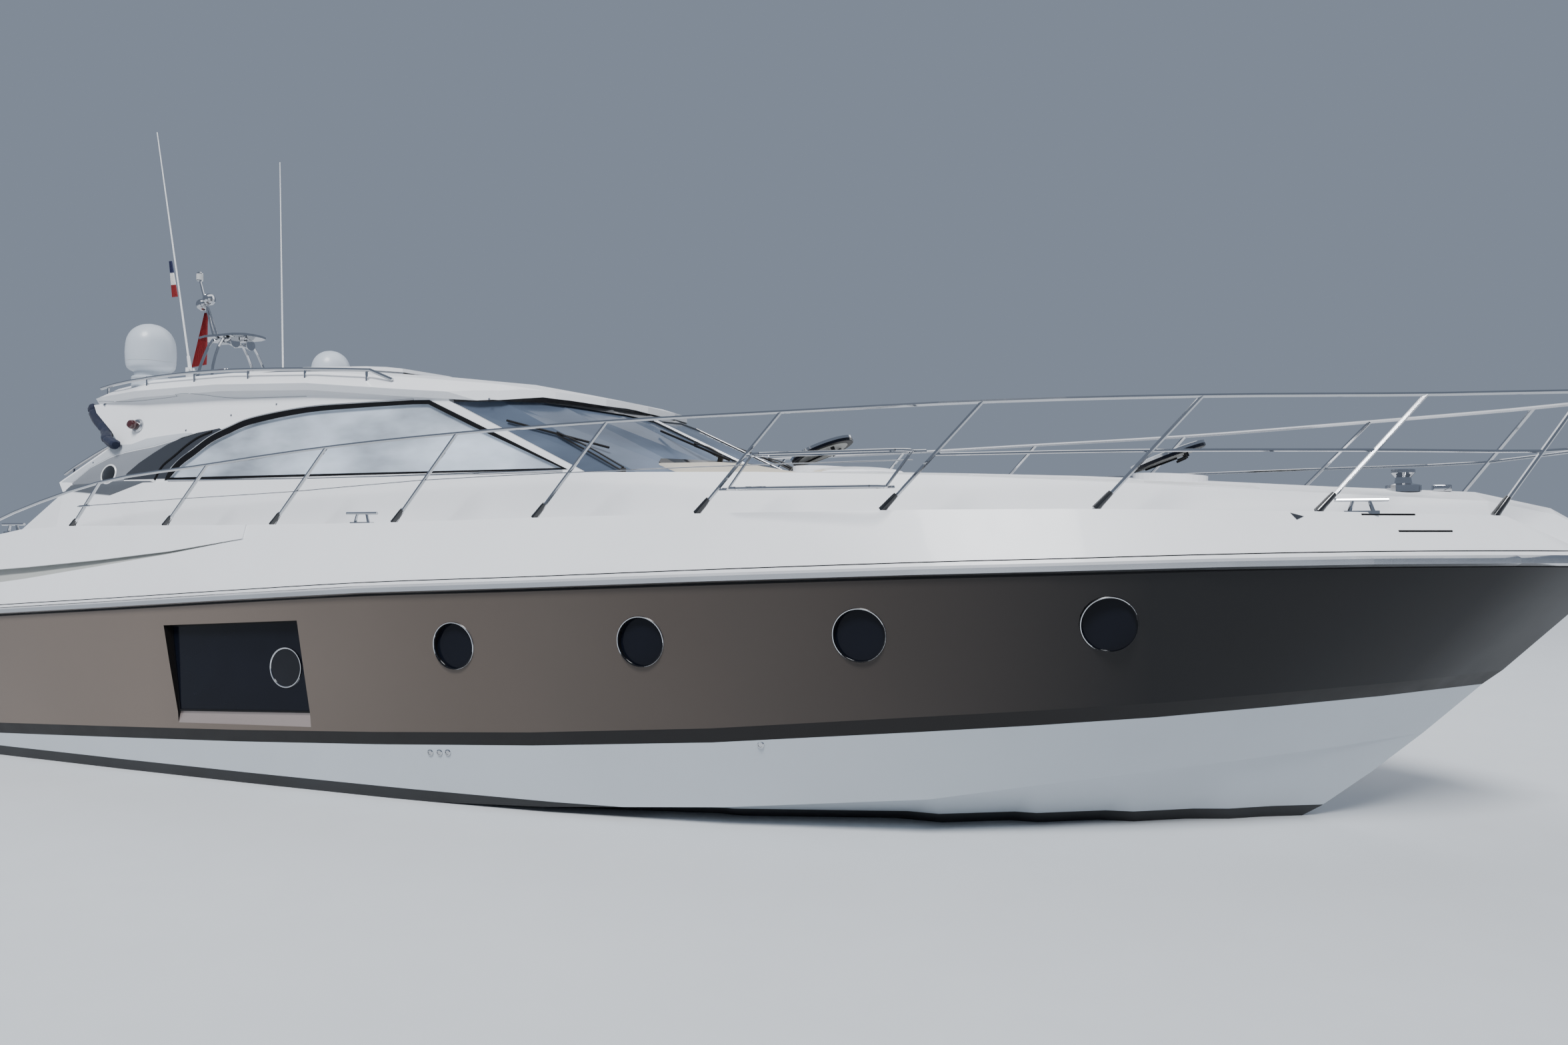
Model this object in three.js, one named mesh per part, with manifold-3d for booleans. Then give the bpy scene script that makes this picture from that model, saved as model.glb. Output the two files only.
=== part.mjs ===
// Motor yacht of the hardtop express cruiser type, 16.6 m long, afloat on its marks.
// Millimetres. +X towards the bow, +Y to port, +Z up. Origin amidships, on the waterline, on the centreline.
import * as THREE from 'three';
import { mergeVertices } from 'three/addons/utils/BufferGeometryUtils.js';
import Module from 'manifold-3d';

const wasm = await Module();
wasm.setup();

// Driving dimensions
const GAP = 0.4; // between pieces that rest on each other
const TRANSOM_X = -7000;
const BOW_FULL_X = 3500; // from here forward the sections rake towards the stem
const STEM_KEEL_X = 6920; // where keel and chine meet the stem
const STEM_KNUCKLE_X = 7300; // where the white band ends on the stem
const STEM_CHAMFER_X = 7430;
const BOW_TIP_X = 8200; // sheer line's foremost point
const PLATFORM_AFT_X = -8250;
const PLATFORM_TOP_Z = 520;
const SOLE_Z = 1450; // cockpit sole
const WELL_Z = 1200; // underside of the deck moulding inside the hull
const COCKPIT_HALF_WIDTH = 1380;
const COCKPIT_AFT_X = -6000;
const GATE_IN_Y = 850; // passage from the bathing platform, on the port side
const SIDE_LEAN = THREE.MathUtils.degToRad(12); // side windows lean inwards
const SIDE_BASE_Y = 1540;
const SIDE_BASE_Z = 2701;
const SIDE_THICK = 70;
const RAIL_RADIUS = 15;
const STANCHION_RADIUS = 15;
const SHAFT_ANGLE = THREE.MathUtils.degToRad(10);
const PROPELLER = { x: -6350, y: 780, z: -830, radius: 310, shaftRadius: 30, hubRadius: 62 };
const RUDDER = { x: -6760, y: 780, topZ: -545, bottomZ: -1120, stockRadius: 25 };
const TRIM_TAB = { inY: 700, outY: 1300, length: 380, thick: 14 };
const HATCH = { radius: 300, open: THREE.MathUtils.degToRad(24), thick: 45 };
const ANTENNA = { x: -4880, y: 630, footZ: 3840, hingeZ: 3995, length: 2730, radius: 11 };
const DOME = { y: 1160, radius: 212, bodyZ: 3890, topZ: 4380 };
const DOMES = { starboard: { x: -4790, lift: 0 }, port: { x: -4660, lift: 110 } };
const MAST = { x: -4940, footY: 420, footZ: 3800, topZ: 4460, halfLength: 250, halfWidth: 200 };

// Hull sections abaft BOW_FULL_X: half-breadths (Y) and heights (Z) of the lines that run the hull's length.
const HULL_COLUMNS = ['x', 'keelZ', 'chineY', 'chineZ', 'knuckleY', 'knuckleZ', 'sheerY', 'sheerZ'];
const HULL_SECTIONS = [
  [-7000, -620, 1930, -120, 2010, 170, 2090, 1330],
  [-5500, -720, 1965, -115, 2050, 240, 2150, 1443],
  [-4000, -780, 1990, -100, 2080, 310, 2200, 1541],
  [-2500, -825, 2000, -70, 2095, 380, 2235, 1643],
  [-1000, -845, 1990, -20, 2100, 463, 2250, 1738],
  [500, -855, 1950, 50, 2090, 558, 2250, 1805],
  [2000, -855, 1850, 160, 2060, 682, 2220, 1877],
  [3500, -840, 1640, 300, 1950, 838, 2110, 1940],
];
// Bow sections: the first column is the share of the way from BOW_FULL_X to each line's end on the stem.
const BOW_SECTIONS = [
  [0.2, -780, 1420, 400, 1740, 895, 1950, 1970],
  [0.4, -650, 1130, 478, 1440, 945, 1710, 2000],
  [0.6, -360, 790, 550, 1060, 1000, 1360, 2018],
  [0.8, 90, 410, 620, 590, 1045, 860, 2020],
  [0.9, 380, 205, 660, 310, 1068, 530, 2015],
  [1.0, 700, 0, 700, 0, 1085, 0, 2000],
];
// Deck moulding: gunwale, side deck, shoulder of the coachroof and its crown.
const DECK_COLUMNS = ['x', 'gunwaleY', 'gunwaleZ', 'sideDeckY', 'shoulderY', 'shoulderZ', 'crownZ'];
const DECK_SECTIONS = [
  [-7000, 1900, 1960, 1560, 1500, 1985, 1990],
  [-6230, 1935, 2130, 1620, 1540, 2190, 2195],
  [-5500, 1965, 2235, 1650, 1560, 2620, 2625],
  [-4830, 1985, 2268, 1660, 1570, 2575, 2580],
  [-4360, 2000, 2270, 1660, 1570, 2700, 2700],
  [-2500, 2045, 2272, 1665, 1570, 2700, 2700],
  [-1000, 2065, 2286, 1660, 1565, 2700, 2700],
  [500, 2065, 2320, 1640, 1560, 2700, 2700],
  [900, 2060, 2328, 1620, 1500, 2700, 2715],
  [2000, 2035, 2346, 1560, 1300, 2690, 2775],
  [3500, 1925, 2362, 1450, 1190, 2640, 2720],
  [4440, 1765, 2364, 1300, 1060, 2590, 2680],
  [5380, 1525, 2355, 1090, 880, 2535, 2625],
  [6320, 1170, 2340, 800, 640, 2480, 2560],
  [7260, 670, 2318, 400, 300, 2430, 2505],
  [7730, 350, 2120, 180, 130, 2330, 2380],
];
// Hardtop: half-width, height of its edge and of its crown.
const ROOF_COLUMNS = ['x', 'halfWidth', 'edgeZ', 'crownZ'];
const ROOF_SECTIONS = [
  [-5420, 1330, 3590, 3745],
  [-5180, 1415, 3603, 3805],
  [-4600, 1480, 3630, 3885],
  [-3500, 1490, 3640, 3900],
  [-2400, 1480, 3600, 3850],
  [-1300, 1470, 3490, 3730],
  [-400, 1440, 3410, 3610],
  [200, 1380, 3340, 3480],
  [560, 1250, 3290, 3400],
  [760, 1100, 3250, 3335],
];
// Plan of the roof's brow over the windscreen, from the side to the centreline
const BROW = [[-850, 1460], [-350, 1360], [100, 1160], [420, 840], [620, 420], [690, 0]];
// Raised panel along the gunwale aft, with a recess below it: height of the panel's lower edge, of the
// recess's lower edge, and the recess's depth
const WING_COLUMNS = ['x', 'edgeZ', 'recessZ', 'depth'];
const WING_SECTIONS = [
  [-7000, 1760, 1570, 95],
  [-5280, 1869, 1756, 85],
  [-4270, 1948, 1887, 60],
  [-3335, 2037, 2013, 30],
  [-2475, 2153, 2149, 2],
];
const WING_PROUD = 12;
// Guard rail: each stanchion's foot and head along the boat, and the height of its head.
const STANCHION_COLUMNS = ['footX', 'headX', 'headZ'];
const STANCHIONS = [
  [-4820, -4430, 2685],
  [-3550, -3010, 2816],
  [-2230, -1620, 2932],
  [-900, -270, 3005],
  [460, 1100, 3050],
  [1840, 2490, 3073],
  [3220, 3910, 3103],
  [4640, 5320, 3118],
  [6040, 6750, 3140],
  [7200, 7780, 3165],
];

const rowsOf = (columns, rows) =>
  rows.map((row) => Object.fromEntries(columns.map((name, i) => [name, row[i]])));

const material = (color, roughness, metalness, opacity = 1) =>
  new THREE.MeshStandardMaterial({ color, roughness, metalness, opacity, transparent: opacity < 1 });
const FINISH = {
  gelcoat: material(0xe9ecef, 0.25, 0),
  bronze: material(0x6f6259, 0.35, 0.6),
  steel: material(0xc9ccd0, 0.2, 1),
  glass: material(0x9fb4c4, 0.05, 0, 0.45),
  tinted: material(0x14171b, 0.1, 0),
  teak: material(0xa87a4a, 0.7, 0),
  cushion: material(0xcfc8bb, 0.8, 0),
  canvas: material(0x1c2740, 0.9, 0),
  plastic: material(0xf1f3f4, 0.4, 0),
  dark: material(0x33383d, 0.6, 0),
  bronzeCast: material(0xb08d57, 0.35, 0.9),
  castIron: material(0x4a4d50, 0.6, 0.4),
};

// Solids
function solidOf(geometry) {
  const source = geometry.index ? geometry.toNonIndexed() : geometry;
  const bare = new THREE.BufferGeometry();
  bare.setAttribute('position', source.getAttribute('position').clone());
  const merged = mergeVertices(bare, 1e-3);
  const points = merged.attributes.position.array;
  const faces = [];
  let volume = 0;
  for (let i = 0; i < merged.index.count; i += 3) {
    const [a, b, c] = [merged.index.getX(i), merged.index.getX(i + 1), merged.index.getX(i + 2)];
    if (a === b || b === c || c === a) continue;
    faces.push([a, b, c]);
    const [p, q, r] = [a, b, c].map((k) => new THREE.Vector3().fromArray(points, 3 * k));
    volume += p.dot(q.cross(r));
  }
  const triVerts = new Uint32Array(faces.flatMap(([a, b, c]) => (volume < 0 ? [a, c, b] : [a, b, c])));
  return new wasm.Manifold(new wasm.Mesh({ numProp: 3, vertProperties: Float32Array.from(points), triVerts }));
}

const group = new THREE.Group();
function addMesh(name, solid, finish) {
  const made = solid.getMesh();
  const positions = new Float32Array(made.numVert * 3);
  for (let i = 0; i < made.numVert; i++) {
    positions.set(made.vertProperties.subarray(i * made.numProp, i * made.numProp + 3), i * 3);
  }
  const geometry = new THREE.BufferGeometry();
  geometry.setAttribute('position', new THREE.BufferAttribute(positions, 3));
  geometry.setIndex(new THREE.BufferAttribute(made.triVerts, 1));
  geometry.computeVertexNormals();
  const mesh = new THREE.Mesh(geometry, finish);
  mesh.name = name;
  group.add(mesh);
  return mesh;
}
function addPair(name, solid, finish) {
  addMesh(`${name}_starboard`, solid, finish);
  addMesh(`${name}_port`, solid.mirror([0, 1, 0]), finish);
}

const box = (x0, x1, y0, y1, z0, z1) =>
  solidOf(new THREE.BoxGeometry(x1 - x0, y1 - y0, z1 - z0).translate((x0 + x1) / 2, (y0 + y1) / 2, (z0 + z1) / 2));

// A closed body through rings of points, each ring the same length.
function loft(rings) {
  const positions = [];
  const face = (...points) => points.forEach((p) => positions.push(...p));
  const count = rings[0].length;
  for (let i = 0; i + 1 < rings.length; i++) {
    for (let j = 0; j < count; j++) {
      const k = (j + 1) % count;
      const [p, q, r, t] = [rings[i][j], rings[i + 1][j], rings[i + 1][k], rings[i][k]];
      // The cut across each patch runs the same way on both sides of the boat
      if (p[1] + q[1] + r[1] + t[1] > 0) {
        face(p, q, r);
        face(p, r, t);
      } else {
        face(p, q, t);
        face(q, r, t);
      }
    }
  }
  const cap = (outer, forward) => {
    const outline = outer.map(([, y, z]) => new THREE.Vector2(y, z));
    const turn = Math.sign(THREE.ShapeUtils.area(outline));
    for (const [a, b, c] of THREE.ShapeUtils.triangulateShape(outline, [])) {
      const same = Math.sign(THREE.ShapeUtils.area([outline[a], outline[b], outline[c]])) === turn;
      if (same === forward) face(outer[a], outer[b], outer[c]);
      else face(outer[a], outer[c], outer[b]);
    }
  };
  const flat = (outer) => outer.every(([, y]) => Math.abs(y) < 1e-6);
  if (!flat(rings[0])) cap(rings[0], true);
  if (!flat(rings.at(-1))) cap(rings.at(-1), false);
  const geometry = new THREE.BufferGeometry();
  geometry.setAttribute('position', new THREE.BufferAttribute(new Float32Array(positions), 3));
  return solidOf(geometry);
}

// A closed body through rings on one side of the boat, each ring the same length
function loftSide(rings) {
  const positions = [];
  const face = (...points) => points.forEach((p) => positions.push(...p));
  const count = rings[0].length;
  rings.slice(0, -1).forEach((from, i) => from.forEach((_, j) => {
    const k = (j + 1) % count;
    const [p, q, r, t] = [from[j], rings[i + 1][j], rings[i + 1][k], from[k]];
    // Inner and outer faces are cut alike, and so are the two sides of the boat
    if ((p[1] + q[1] > 0) === (j < count / 2)) {
      face(p, q, r);
      face(p, r, t);
    } else {
      face(p, q, t);
      face(q, r, t);
    }
  }));
  for (let j = 1; j + 1 < count; j++) {
    face(rings[0][0], rings[0][j], rings[0][j + 1]);
    face(rings.at(-1)[0], rings.at(-1)[j + 1], rings.at(-1)[j]);
  }
  const geometry = new THREE.BufferGeometry();
  geometry.setAttribute('position', new THREE.BufferAttribute(new Float32Array(positions), 3));
  return solidOf(geometry);
}

// A plate from an outline in the X-Z plane, as thick as from y0 to y1.
function plateXZ(points, y0, y1, holes = []) {
  const shape = new THREE.Shape(points.map(([x, z]) => new THREE.Vector2(x, z)));
  holes.forEach((hole) => shape.holes.push(new THREE.Path(hole.map(([x, z]) => new THREE.Vector2(x, z)))));
  const geometry = new THREE.ExtrudeGeometry(shape, { depth: y1 - y0, bevelEnabled: false });
  return solidOf(geometry.rotateX(Math.PI / 2).translate(0, y1, 0));
}
// A plate from an outline in the X-Y plane, as thick as from z0 to z1.
function plateXY(points, z0, z1) {
  const shape = new THREE.Shape(points.map(([x, y]) => new THREE.Vector2(x, y)));
  return solidOf(new THREE.ExtrudeGeometry(shape, { depth: z1 - z0, bevelEnabled: false }).translate(0, 0, z0));
}
function roundedOutline(x0, x1, y0, y1, radius, steps = 4) {
  const points = [];
  const corners = [[x1, y1, 0], [x0, y1, 1], [x0, y0, 2], [x1, y0, 3]];
  corners.forEach(([x, y, quarter]) => {
    const cx = x + (quarter === 0 || quarter === 3 ? -radius : radius);
    const cy = y + (quarter < 2 ? -radius : radius);
    for (let i = 0; i <= steps; i++) {
      const a = (quarter + i / steps) * Math.PI / 2;
      points.push([cx + radius * Math.cos(a), cy + radius * Math.sin(a)]);
    }
  });
  return points;
}
function rod(from, to, radius, sides = 8, radiusTo = radius) {
  const a = new THREE.Vector3(...from);
  const b = new THREE.Vector3(...to);
  const geometry = new THREE.CylinderGeometry(radiusTo, radius, a.distanceTo(b), sides);
  const turn = new THREE.Quaternion().setFromUnitVectors(new THREE.Vector3(0, 1, 0), b.clone().sub(a).normalize());
  geometry.applyQuaternion(turn).translate(...a.clone().add(b).multiplyScalar(0.5).toArray());
  return solidOf(geometry);
}
function bentTube(points, radius, steps, sides = 8, closed = false) {
  const path = new THREE.CatmullRomCurve3(points.map((p) => new THREE.Vector3(...p)), closed, 'centripetal');
  const outline = [];
  for (let i = 0; i < sides; i++) {
    const a = (2 * Math.PI * i) / sides;
    outline.push(new THREE.Vector2(radius * Math.cos(a), radius * Math.sin(a)));
  }
  return solidOf(new THREE.ExtrudeGeometry(new THREE.Shape(outline), { steps, extrudePath: path, bevelEnabled: false }));
}
const turned = (profile, sides, x, y, z) =>
  solidOf(new THREE.LatheGeometry(profile.map(([r, h]) => new THREE.Vector2(r, h)), sides).rotateX(Math.PI / 2)
    .translate(x, y, z));
const joined = (...solids) => solids.reduce((sum, solid) => sum.add(solid));

// Lines of the hull, each point an [x, y, z] on the port side
const hullRows = [
  ...rowsOf(HULL_COLUMNS, HULL_SECTIONS).map((row) => ({ ...row, share: 0 })),
  ...rowsOf(['share', ...HULL_COLUMNS.slice(1)], BOW_SECTIONS).map((row) => ({ ...row, x: BOW_FULL_X })),
];
const along = (row, endX) => row.x + row.share * (endX - BOW_FULL_X);
const onStem = (row) => row.share === 1;
// A ring across the boat from its port half; where the half ends on the centreline that point is used once.
const ring = (half, endsOnCentre = true) => [
  ...half.map(([x, y, z]) => [x, -y, z]),
  ...(endsOnCentre ? half.slice(0, -1) : half.slice()).reverse(),
];
const CHAMFER_OUT = 45;
const CHAMFER_UP = 110;
const CHINE_FLAT = 130;
const bottomRings = hullRows.map((row) => {
  const flat = CHINE_FLAT * (1 - row.share);
  const keelX = along(row, STEM_KEEL_X);
  return ring([
    [along(row, STEM_KNUCKLE_X), row.knuckleY, row.knuckleZ - GAP],
    [keelX, row.chineY, row.chineZ],
    [keelX, Math.max(row.chineY - flat, 0), row.chineZ - flat / 6],
    [keelX, 0, row.keelZ],
  ]);
});
const topsideRings = hullRows.map((row) => {
  const tip = onStem(row);
  return ring([
    [along(row, BOW_TIP_X), row.sheerY, row.sheerZ - GAP],
    [along(row, STEM_CHAMFER_X), tip ? 0 : row.knuckleY + CHAMFER_OUT, row.knuckleZ + CHAMFER_UP],
    [along(row, STEM_KNUCKLE_X), row.knuckleY, row.knuckleZ],
  ], false);
});

// The sheer line at any x, straight between the sections
const sheerLine = hullRows.map((row) => ({ x: along(row, BOW_TIP_X), y: row.sheerY, z: row.sheerZ }));
function between(rows, x, ...names) {
  const i = Math.min(Math.max(rows.findIndex((row) => row.x > x), 1), rows.length - 1);
  const at = x >= rows.at(-1).x ? rows.length - 1 : i;
  const [a, b] = [rows[at - 1], rows[at]];
  const share = (x - a.x) / (b.x - a.x);
  return names.map((name) => a[name] + share * (b[name] - a[name]));
}
const deckRows = rowsOf(DECK_COLUMNS, DECK_SECTIONS);
const sheerXs = sheerLine.map((point) => point.x);
const deckXs = [...new Set([...deckRows.map((row) => row.x), ...sheerXs])].sort((a, b) => a - b)
  .filter((x) => x < BOW_TIP_X);
const CAPPING = 85; // width of the gunwale's flat top
const BULWARK = 90; // side deck below the gunwale
const deckRings = deckXs.map((x) => {
  const [sheerY, sheerZ] = between(sheerLine, x, 'y', 'z');
  const names = DECK_COLUMNS.slice(1);
  const [gunwaleY, gunwaleZ, sideDeckY, shoulderY, shoulderZ, crownZ] = between(deckRows, x, ...names);
  const share = Math.min(1, gunwaleY / 800);
  const cappingY = gunwaleY - CAPPING * share;
  return ring([
    [x, sheerY - 4, sheerZ + GAP],
    [x, gunwaleY, gunwaleZ],
    [x, cappingY, gunwaleZ],
    [x, cappingY - 10 * share, gunwaleZ - BULWARK * share],
    [x, sideDeckY, gunwaleZ - (BULWARK - 20) * share],
    [x, shoulderY, shoulderZ],
    [x, 0, crownZ],
  ]);
});
const TIP_Z = 2060;
deckRings.push(ring([
  [BOW_TIP_X, 0, sheerLine.at(-1).z + GAP],
  ...Array.from({ length: 6 }, () => [BOW_TIP_X, 0, TIP_Z]),
]));
const deckHull = loft(deckRings);

// Engine room: a pocket in the hull, closed by the deck moulding above
const ENGINE_ROOM = { x0: -5900, x1: -3600, halfWidth: 1250, floorZ: -100 };
const engineRoom = box(ENGINE_ROOM.x0, ENGINE_ROOM.x1, -ENGINE_ROOM.halfWidth, ENGINE_ROOM.halfWidth,
  ENGINE_ROOM.floorZ, WELL_Z + 500);
const WELL = { x0: -6500, x1: 2000, halfWidth: 1750 };
const wellOf = (margin) => box(WELL.x0 - margin, WELL.x1 + margin, -WELL.halfWidth - margin, WELL.halfWidth + margin,
  WELL_Z - margin, 2000);

// Shaft line, from the propeller up into the hull
const shaftPoint = (distance) => [
  PROPELLER.x + distance * Math.cos(SHAFT_ANGLE), -PROPELLER.y, PROPELLER.z + distance * Math.sin(SHAFT_ANGLE),
];
const SHAFT_LENGTH = 2150;
const shaftBore = rod(shaftPoint(1000), shaftPoint(SHAFT_LENGTH + 60), PROPELLER.shaftRadius + 8, 12);
const stockBore = rod([RUDDER.x, -RUDDER.y, -600], [RUDDER.x, -RUDDER.y, -250], RUDDER.stockRadius + 7, 12);
const mirroredRod = (from, to, radius, sides) => rod([from[0], -from[1], from[2]], [to[0], -to[1], to[2]], radius, sides);
const shaftBorePort = mirroredRod(shaftPoint(1000), shaftPoint(SHAFT_LENGTH + 60), PROPELLER.shaftRadius + 8, 12);
const stockBorePort = mirroredRod([RUDDER.x, -RUDDER.y, -600], [RUDDER.x, -RUDDER.y, -250], RUDDER.stockRadius + 7, 12);
const THRUSTER = { x: 4700, z: -330, radius: 110 };
const thrusterTunnel = rod([THRUSTER.x, -2000, THRUSTER.z], [THRUSTER.x, 2000, THRUSTER.z], THRUSTER.radius, 16);
// Each shaft runs in a bracket with two arms just ahead of its propeller
const BRACKET = { near: 165, far: 345, outer: 58, chord: 90, thick: 14, spread: 150, topZ: -380 };
const bracketMid = shaftPoint((BRACKET.near + BRACKET.far) / 2);
const bracketArm = (side) => {
  const [x, y, z] = bracketMid;
  const section = (atY, atZ) => [[-1, -1], [-1, 1], [1, 1], [1, -1]].map(([sx, sy]) => [
    x + sx * BRACKET.chord / 2, atY + sy * BRACKET.thick / 2, atZ]);
  return loftSide([section(y, z), section(y + side * BRACKET.spread, BRACKET.topZ + side * 40)]);
};
const bracket = joined(rod(shaftPoint(BRACKET.near), shaftPoint(BRACKET.far), BRACKET.outer, 16),
  bracketArm(-1), bracketArm(1))
  .subtract(rod(shaftPoint(BRACKET.near - 20), shaftPoint(BRACKET.far + 20), PROPELLER.shaftRadius + 8, 16));
const hullBottom = loft(bottomRings).add(bracket).add(bracket.mirror([0, 1, 0])).subtract(joined(engineRoom, shaftBore, shaftBorePort))
  .subtract(stockBore).subtract(stockBorePort).subtract(thrusterTunnel);
addMesh('hull_bottom', hullBottom, FINISH.gelcoat);

// Recessed window amidships and round portlights in the topsides, on both sides
const RECESS = { depthY: 2115 };
const RECESS_OUTLINE = [[-3160, 611], [-1640, 683], [-1720, 1469], [-3270, 1379]];
const RECESS_SILL = [[-3160, 611, 512], [-1640, 683, 571]]; // x, upper and lower edge
const PORTLIGHTS = [[-150, 1316], [1480, 1406], [3110, 1500], [4730, 1600]]; // x, z
const PORTLIGHT_RADIUS = 188;
const sideY = (x, z) => {
  const rows = hullRows.map((row) => ({ x: along(row, BOW_TIP_X), top: row.sheerY, topZ: row.sheerZ }));
  const low = hullRows.map((row) => ({ x: along(row, STEM_CHAMFER_X), y: row.knuckleY + CHAMFER_OUT, z: row.knuckleZ }));
  const [top, topZ] = between(rows, x, 'top', 'topZ');
  const [bottom, bottomZ] = between(low, x, 'y', 'z');
  const share = (z - bottomZ - CHAMFER_UP) / (topZ - bottomZ - CHAMFER_UP);
  return bottom + share * (top - bottom);
};
const GARAGE = { y0: -1100, y1: 700, z0: 640, z1: 1180, depth: 900, lidThick: 40, margin: 12 };
const garagePocket = box(TRANSOM_X - 50, TRANSOM_X + GARAGE.depth, GARAGE.y0, GARAGE.y1, GARAGE.z0, GARAGE.z1);
let topsides = loft(topsideRings).subtract(wellOf(GAP)).subtract(engineRoom).subtract(garagePocket);
const PORTLIGHT_DEPTH = 45;
// The sill slopes from the pane's foot out to the hull's side
const sill = loftSide(RECESS_SILL.map(([x, topZ, lowZ]) => [
  [x, -RECESS.depthY, topZ + 1], [x, -sideY(x, lowZ), lowZ], [x, -2400, lowZ], [x, -2400, topZ + 1],
]));
for (const side of [-1, 1]) {
  const recessY = side * RECESS.depthY;
  const outY = side * 2600;
  topsides = topsides.subtract(plateXZ(RECESS_OUTLINE, Math.min(recessY, outY), Math.max(recessY, outY)))
    .subtract(side < 0 ? sill : sill.mirror([0, 1, 0]));
  for (const [x, z] of PORTLIGHTS) {
    const y = sideY(x, z) - PORTLIGHT_DEPTH;
    topsides = topsides.subtract(rod([x, side * y, z], [x, side * 2700, z], PORTLIGHT_RADIUS, 20));
  }
}
addMesh('hull_topsides', topsides, FINISH.bronze);

// Deck moulding with the cockpit, the saloon under the hardtop, the passage aft and the hatch openings
const COCKPIT_OUTLINE = [
  [COCKPIT_AFT_X, -COCKPIT_HALF_WIDTH], [300, -COCKPIT_HALF_WIDTH], [900, -1050],
  [900, 1050], [300, COCKPIT_HALF_WIDTH], [COCKPIT_AFT_X, COCKPIT_HALF_WIDTH],
];
const cockpit = plateXY(COCKPIT_OUTLINE, SOLE_Z - 30, 3200);
const passage = box(TRANSOM_X - 100, COCKPIT_AFT_X + 1, GATE_IN_Y, COCKPIT_HALF_WIDTH, SOLE_Z, 3200);
const HATCHES = [{ name: 'aft', x: 2200 }, { name: 'forward', x: 5150 }];
const HATCH_HOLE = HATCH.radius - 40;
const coachroofZ = (x) => between(deckRows, x, 'crownZ')[0];
const coachroofSlope = (x) => (coachroofZ(x + 200) - coachroofZ(x - 200)) / 400;
const frameSections = HATCHES.map(({ x }) => {
  const slope = Math.atan(coachroofSlope(x));
  return { x, z: coachroofZ(x), slope };
});
// Upright ring around each hatch, square to the coachroof there
const HATCH_FRAME_UP = 34;
const onRoof = (solid, { x, z, slope }) => solid.rotate([0, -THREE.MathUtils.radToDeg(slope), 0]).translate([x, 0, z]);
// Wing along the gunwale aft and the recess below it
const wingRows = rowsOf(WING_COLUMNS, WING_SECTIONS);
const sideAt = (x, z) => {
  const [sheerY, sheerZ] = between(sheerLine, x, 'y', 'z');
  const [gunwaleY, gunwaleZ] = between(deckRows, x, 'gunwaleY', 'gunwaleZ');
  return sheerY - 4 + ((z - sheerZ) / (gunwaleZ - sheerZ)) * (gunwaleY - sheerY + 4);
};
const wingXs = [...new Set([...wingRows.map((row) => row.x), ...deckXs.filter((x) => x < -2475)])].sort((a, b) => a - b);
const wing = loftSide(wingXs.map((x) => {
  const [edgeZ] = between(wingRows, x, 'edgeZ');
  const [gunwaleY, gunwaleZ] = between(deckRows, x, 'gunwaleY', 'gunwaleZ');
  const y = sideAt(x, edgeZ);
  return [[x, -y + 40, edgeZ], [x, -y - WING_PROUD, edgeZ],
    [x, -gunwaleY - WING_PROUD, gunwaleZ], [x, -gunwaleY + 40, gunwaleZ]];
}));
const wingRecess = loftSide(wingXs.map((x, i) => {
  const [edgeZ, recessZ, depth] = between(wingRows, x, 'edgeZ', 'recessZ', 'depth');
  const y = sideAt(x, edgeZ);
  const outX = i === 0 ? x - 50 : x;
  return [[outX, -y + depth, edgeZ - 1], [outX, -sideAt(x, recessZ) + 1, recessZ],
    [outX, -y - 80, recessZ], [outX, -y - 80, edgeZ - 1]];
}));
// Raised plinth at the windscreen's foot and the low rise that the aft hatch stands on
const PLINTH_TOP = [[1150, 2500], [1150, 2800], [1450, 2800], [1950, 2758], [2330, 2690], [2330, 2500]];
const PLINTH_PLAN = [[1150, -1240], [2050, -1240], [2330, -1120], [2330, -420], [1840, -420], [1840, 420],
  [2330, 420], [2330, 1120], [2050, 1240], [1150, 1240]];
const plinth = plateXY(PLINTH_PLAN, 2550, 2900).intersect(plateXZ(PLINTH_TOP, -1300, 1300))
  .intersect(deckHull.translate([0, 0, 85]));
const HATCH_RISE = { x: 2420, z: 2735, length: 520, half: 450, height: 62 };
const hatchRise = solidOf(new THREE.SphereGeometry(1, 24, 16)
  .scale(HATCH_RISE.length, HATCH_RISE.half, HATCH_RISE.height).translate(HATCH_RISE.x, 0, HATCH_RISE.z))
  .subtract(onRoof(rod([0, 0, HATCH_FRAME_UP], [0, 0, 300], HATCH.radius + 14, 32), frameSections[0]));
const deckOutside = deckHull.add(wing).add(wing.mirror([0, 1, 0])).subtract(wingRecess)
  .subtract(wingRecess.mirror([0, 1, 0])).add(plinth).add(hatchRise);
const clearOfDeck = deckOutside.translate([0, 0, GAP]);
let deck = deckOutside.add(box(WELL.x0, WELL.x1, -WELL.halfWidth, WELL.halfWidth, WELL_Z, 1900));
for (const section of frameSections) {
  deck = deck.add(onRoof(rod([0, 0, -150], [0, 0, HATCH_FRAME_UP], HATCH.radius - 14, 32), section));
}
deck = deck.subtract(cockpit).subtract(passage);
for (const section of frameSections) {
  deck = deck.subtract(onRoof(rod([0, 0, -260], [0, 0, 300], HATCH_HOLE, 32), section));
}
addMesh('deck_moulding', deck, FINISH.gelcoat);
const SOLE_MARGIN = 6;
const soleOutline = COCKPIT_OUTLINE.map(([x, y]) => [x + (x < 0 ? SOLE_MARGIN : -SOLE_MARGIN), y - Math.sign(y) * SOLE_MARGIN]);
addMesh('cockpit_sole', plateXY(soleOutline, SOLE_Z - 30 + GAP, SOLE_Z), FINISH.teak);

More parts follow.
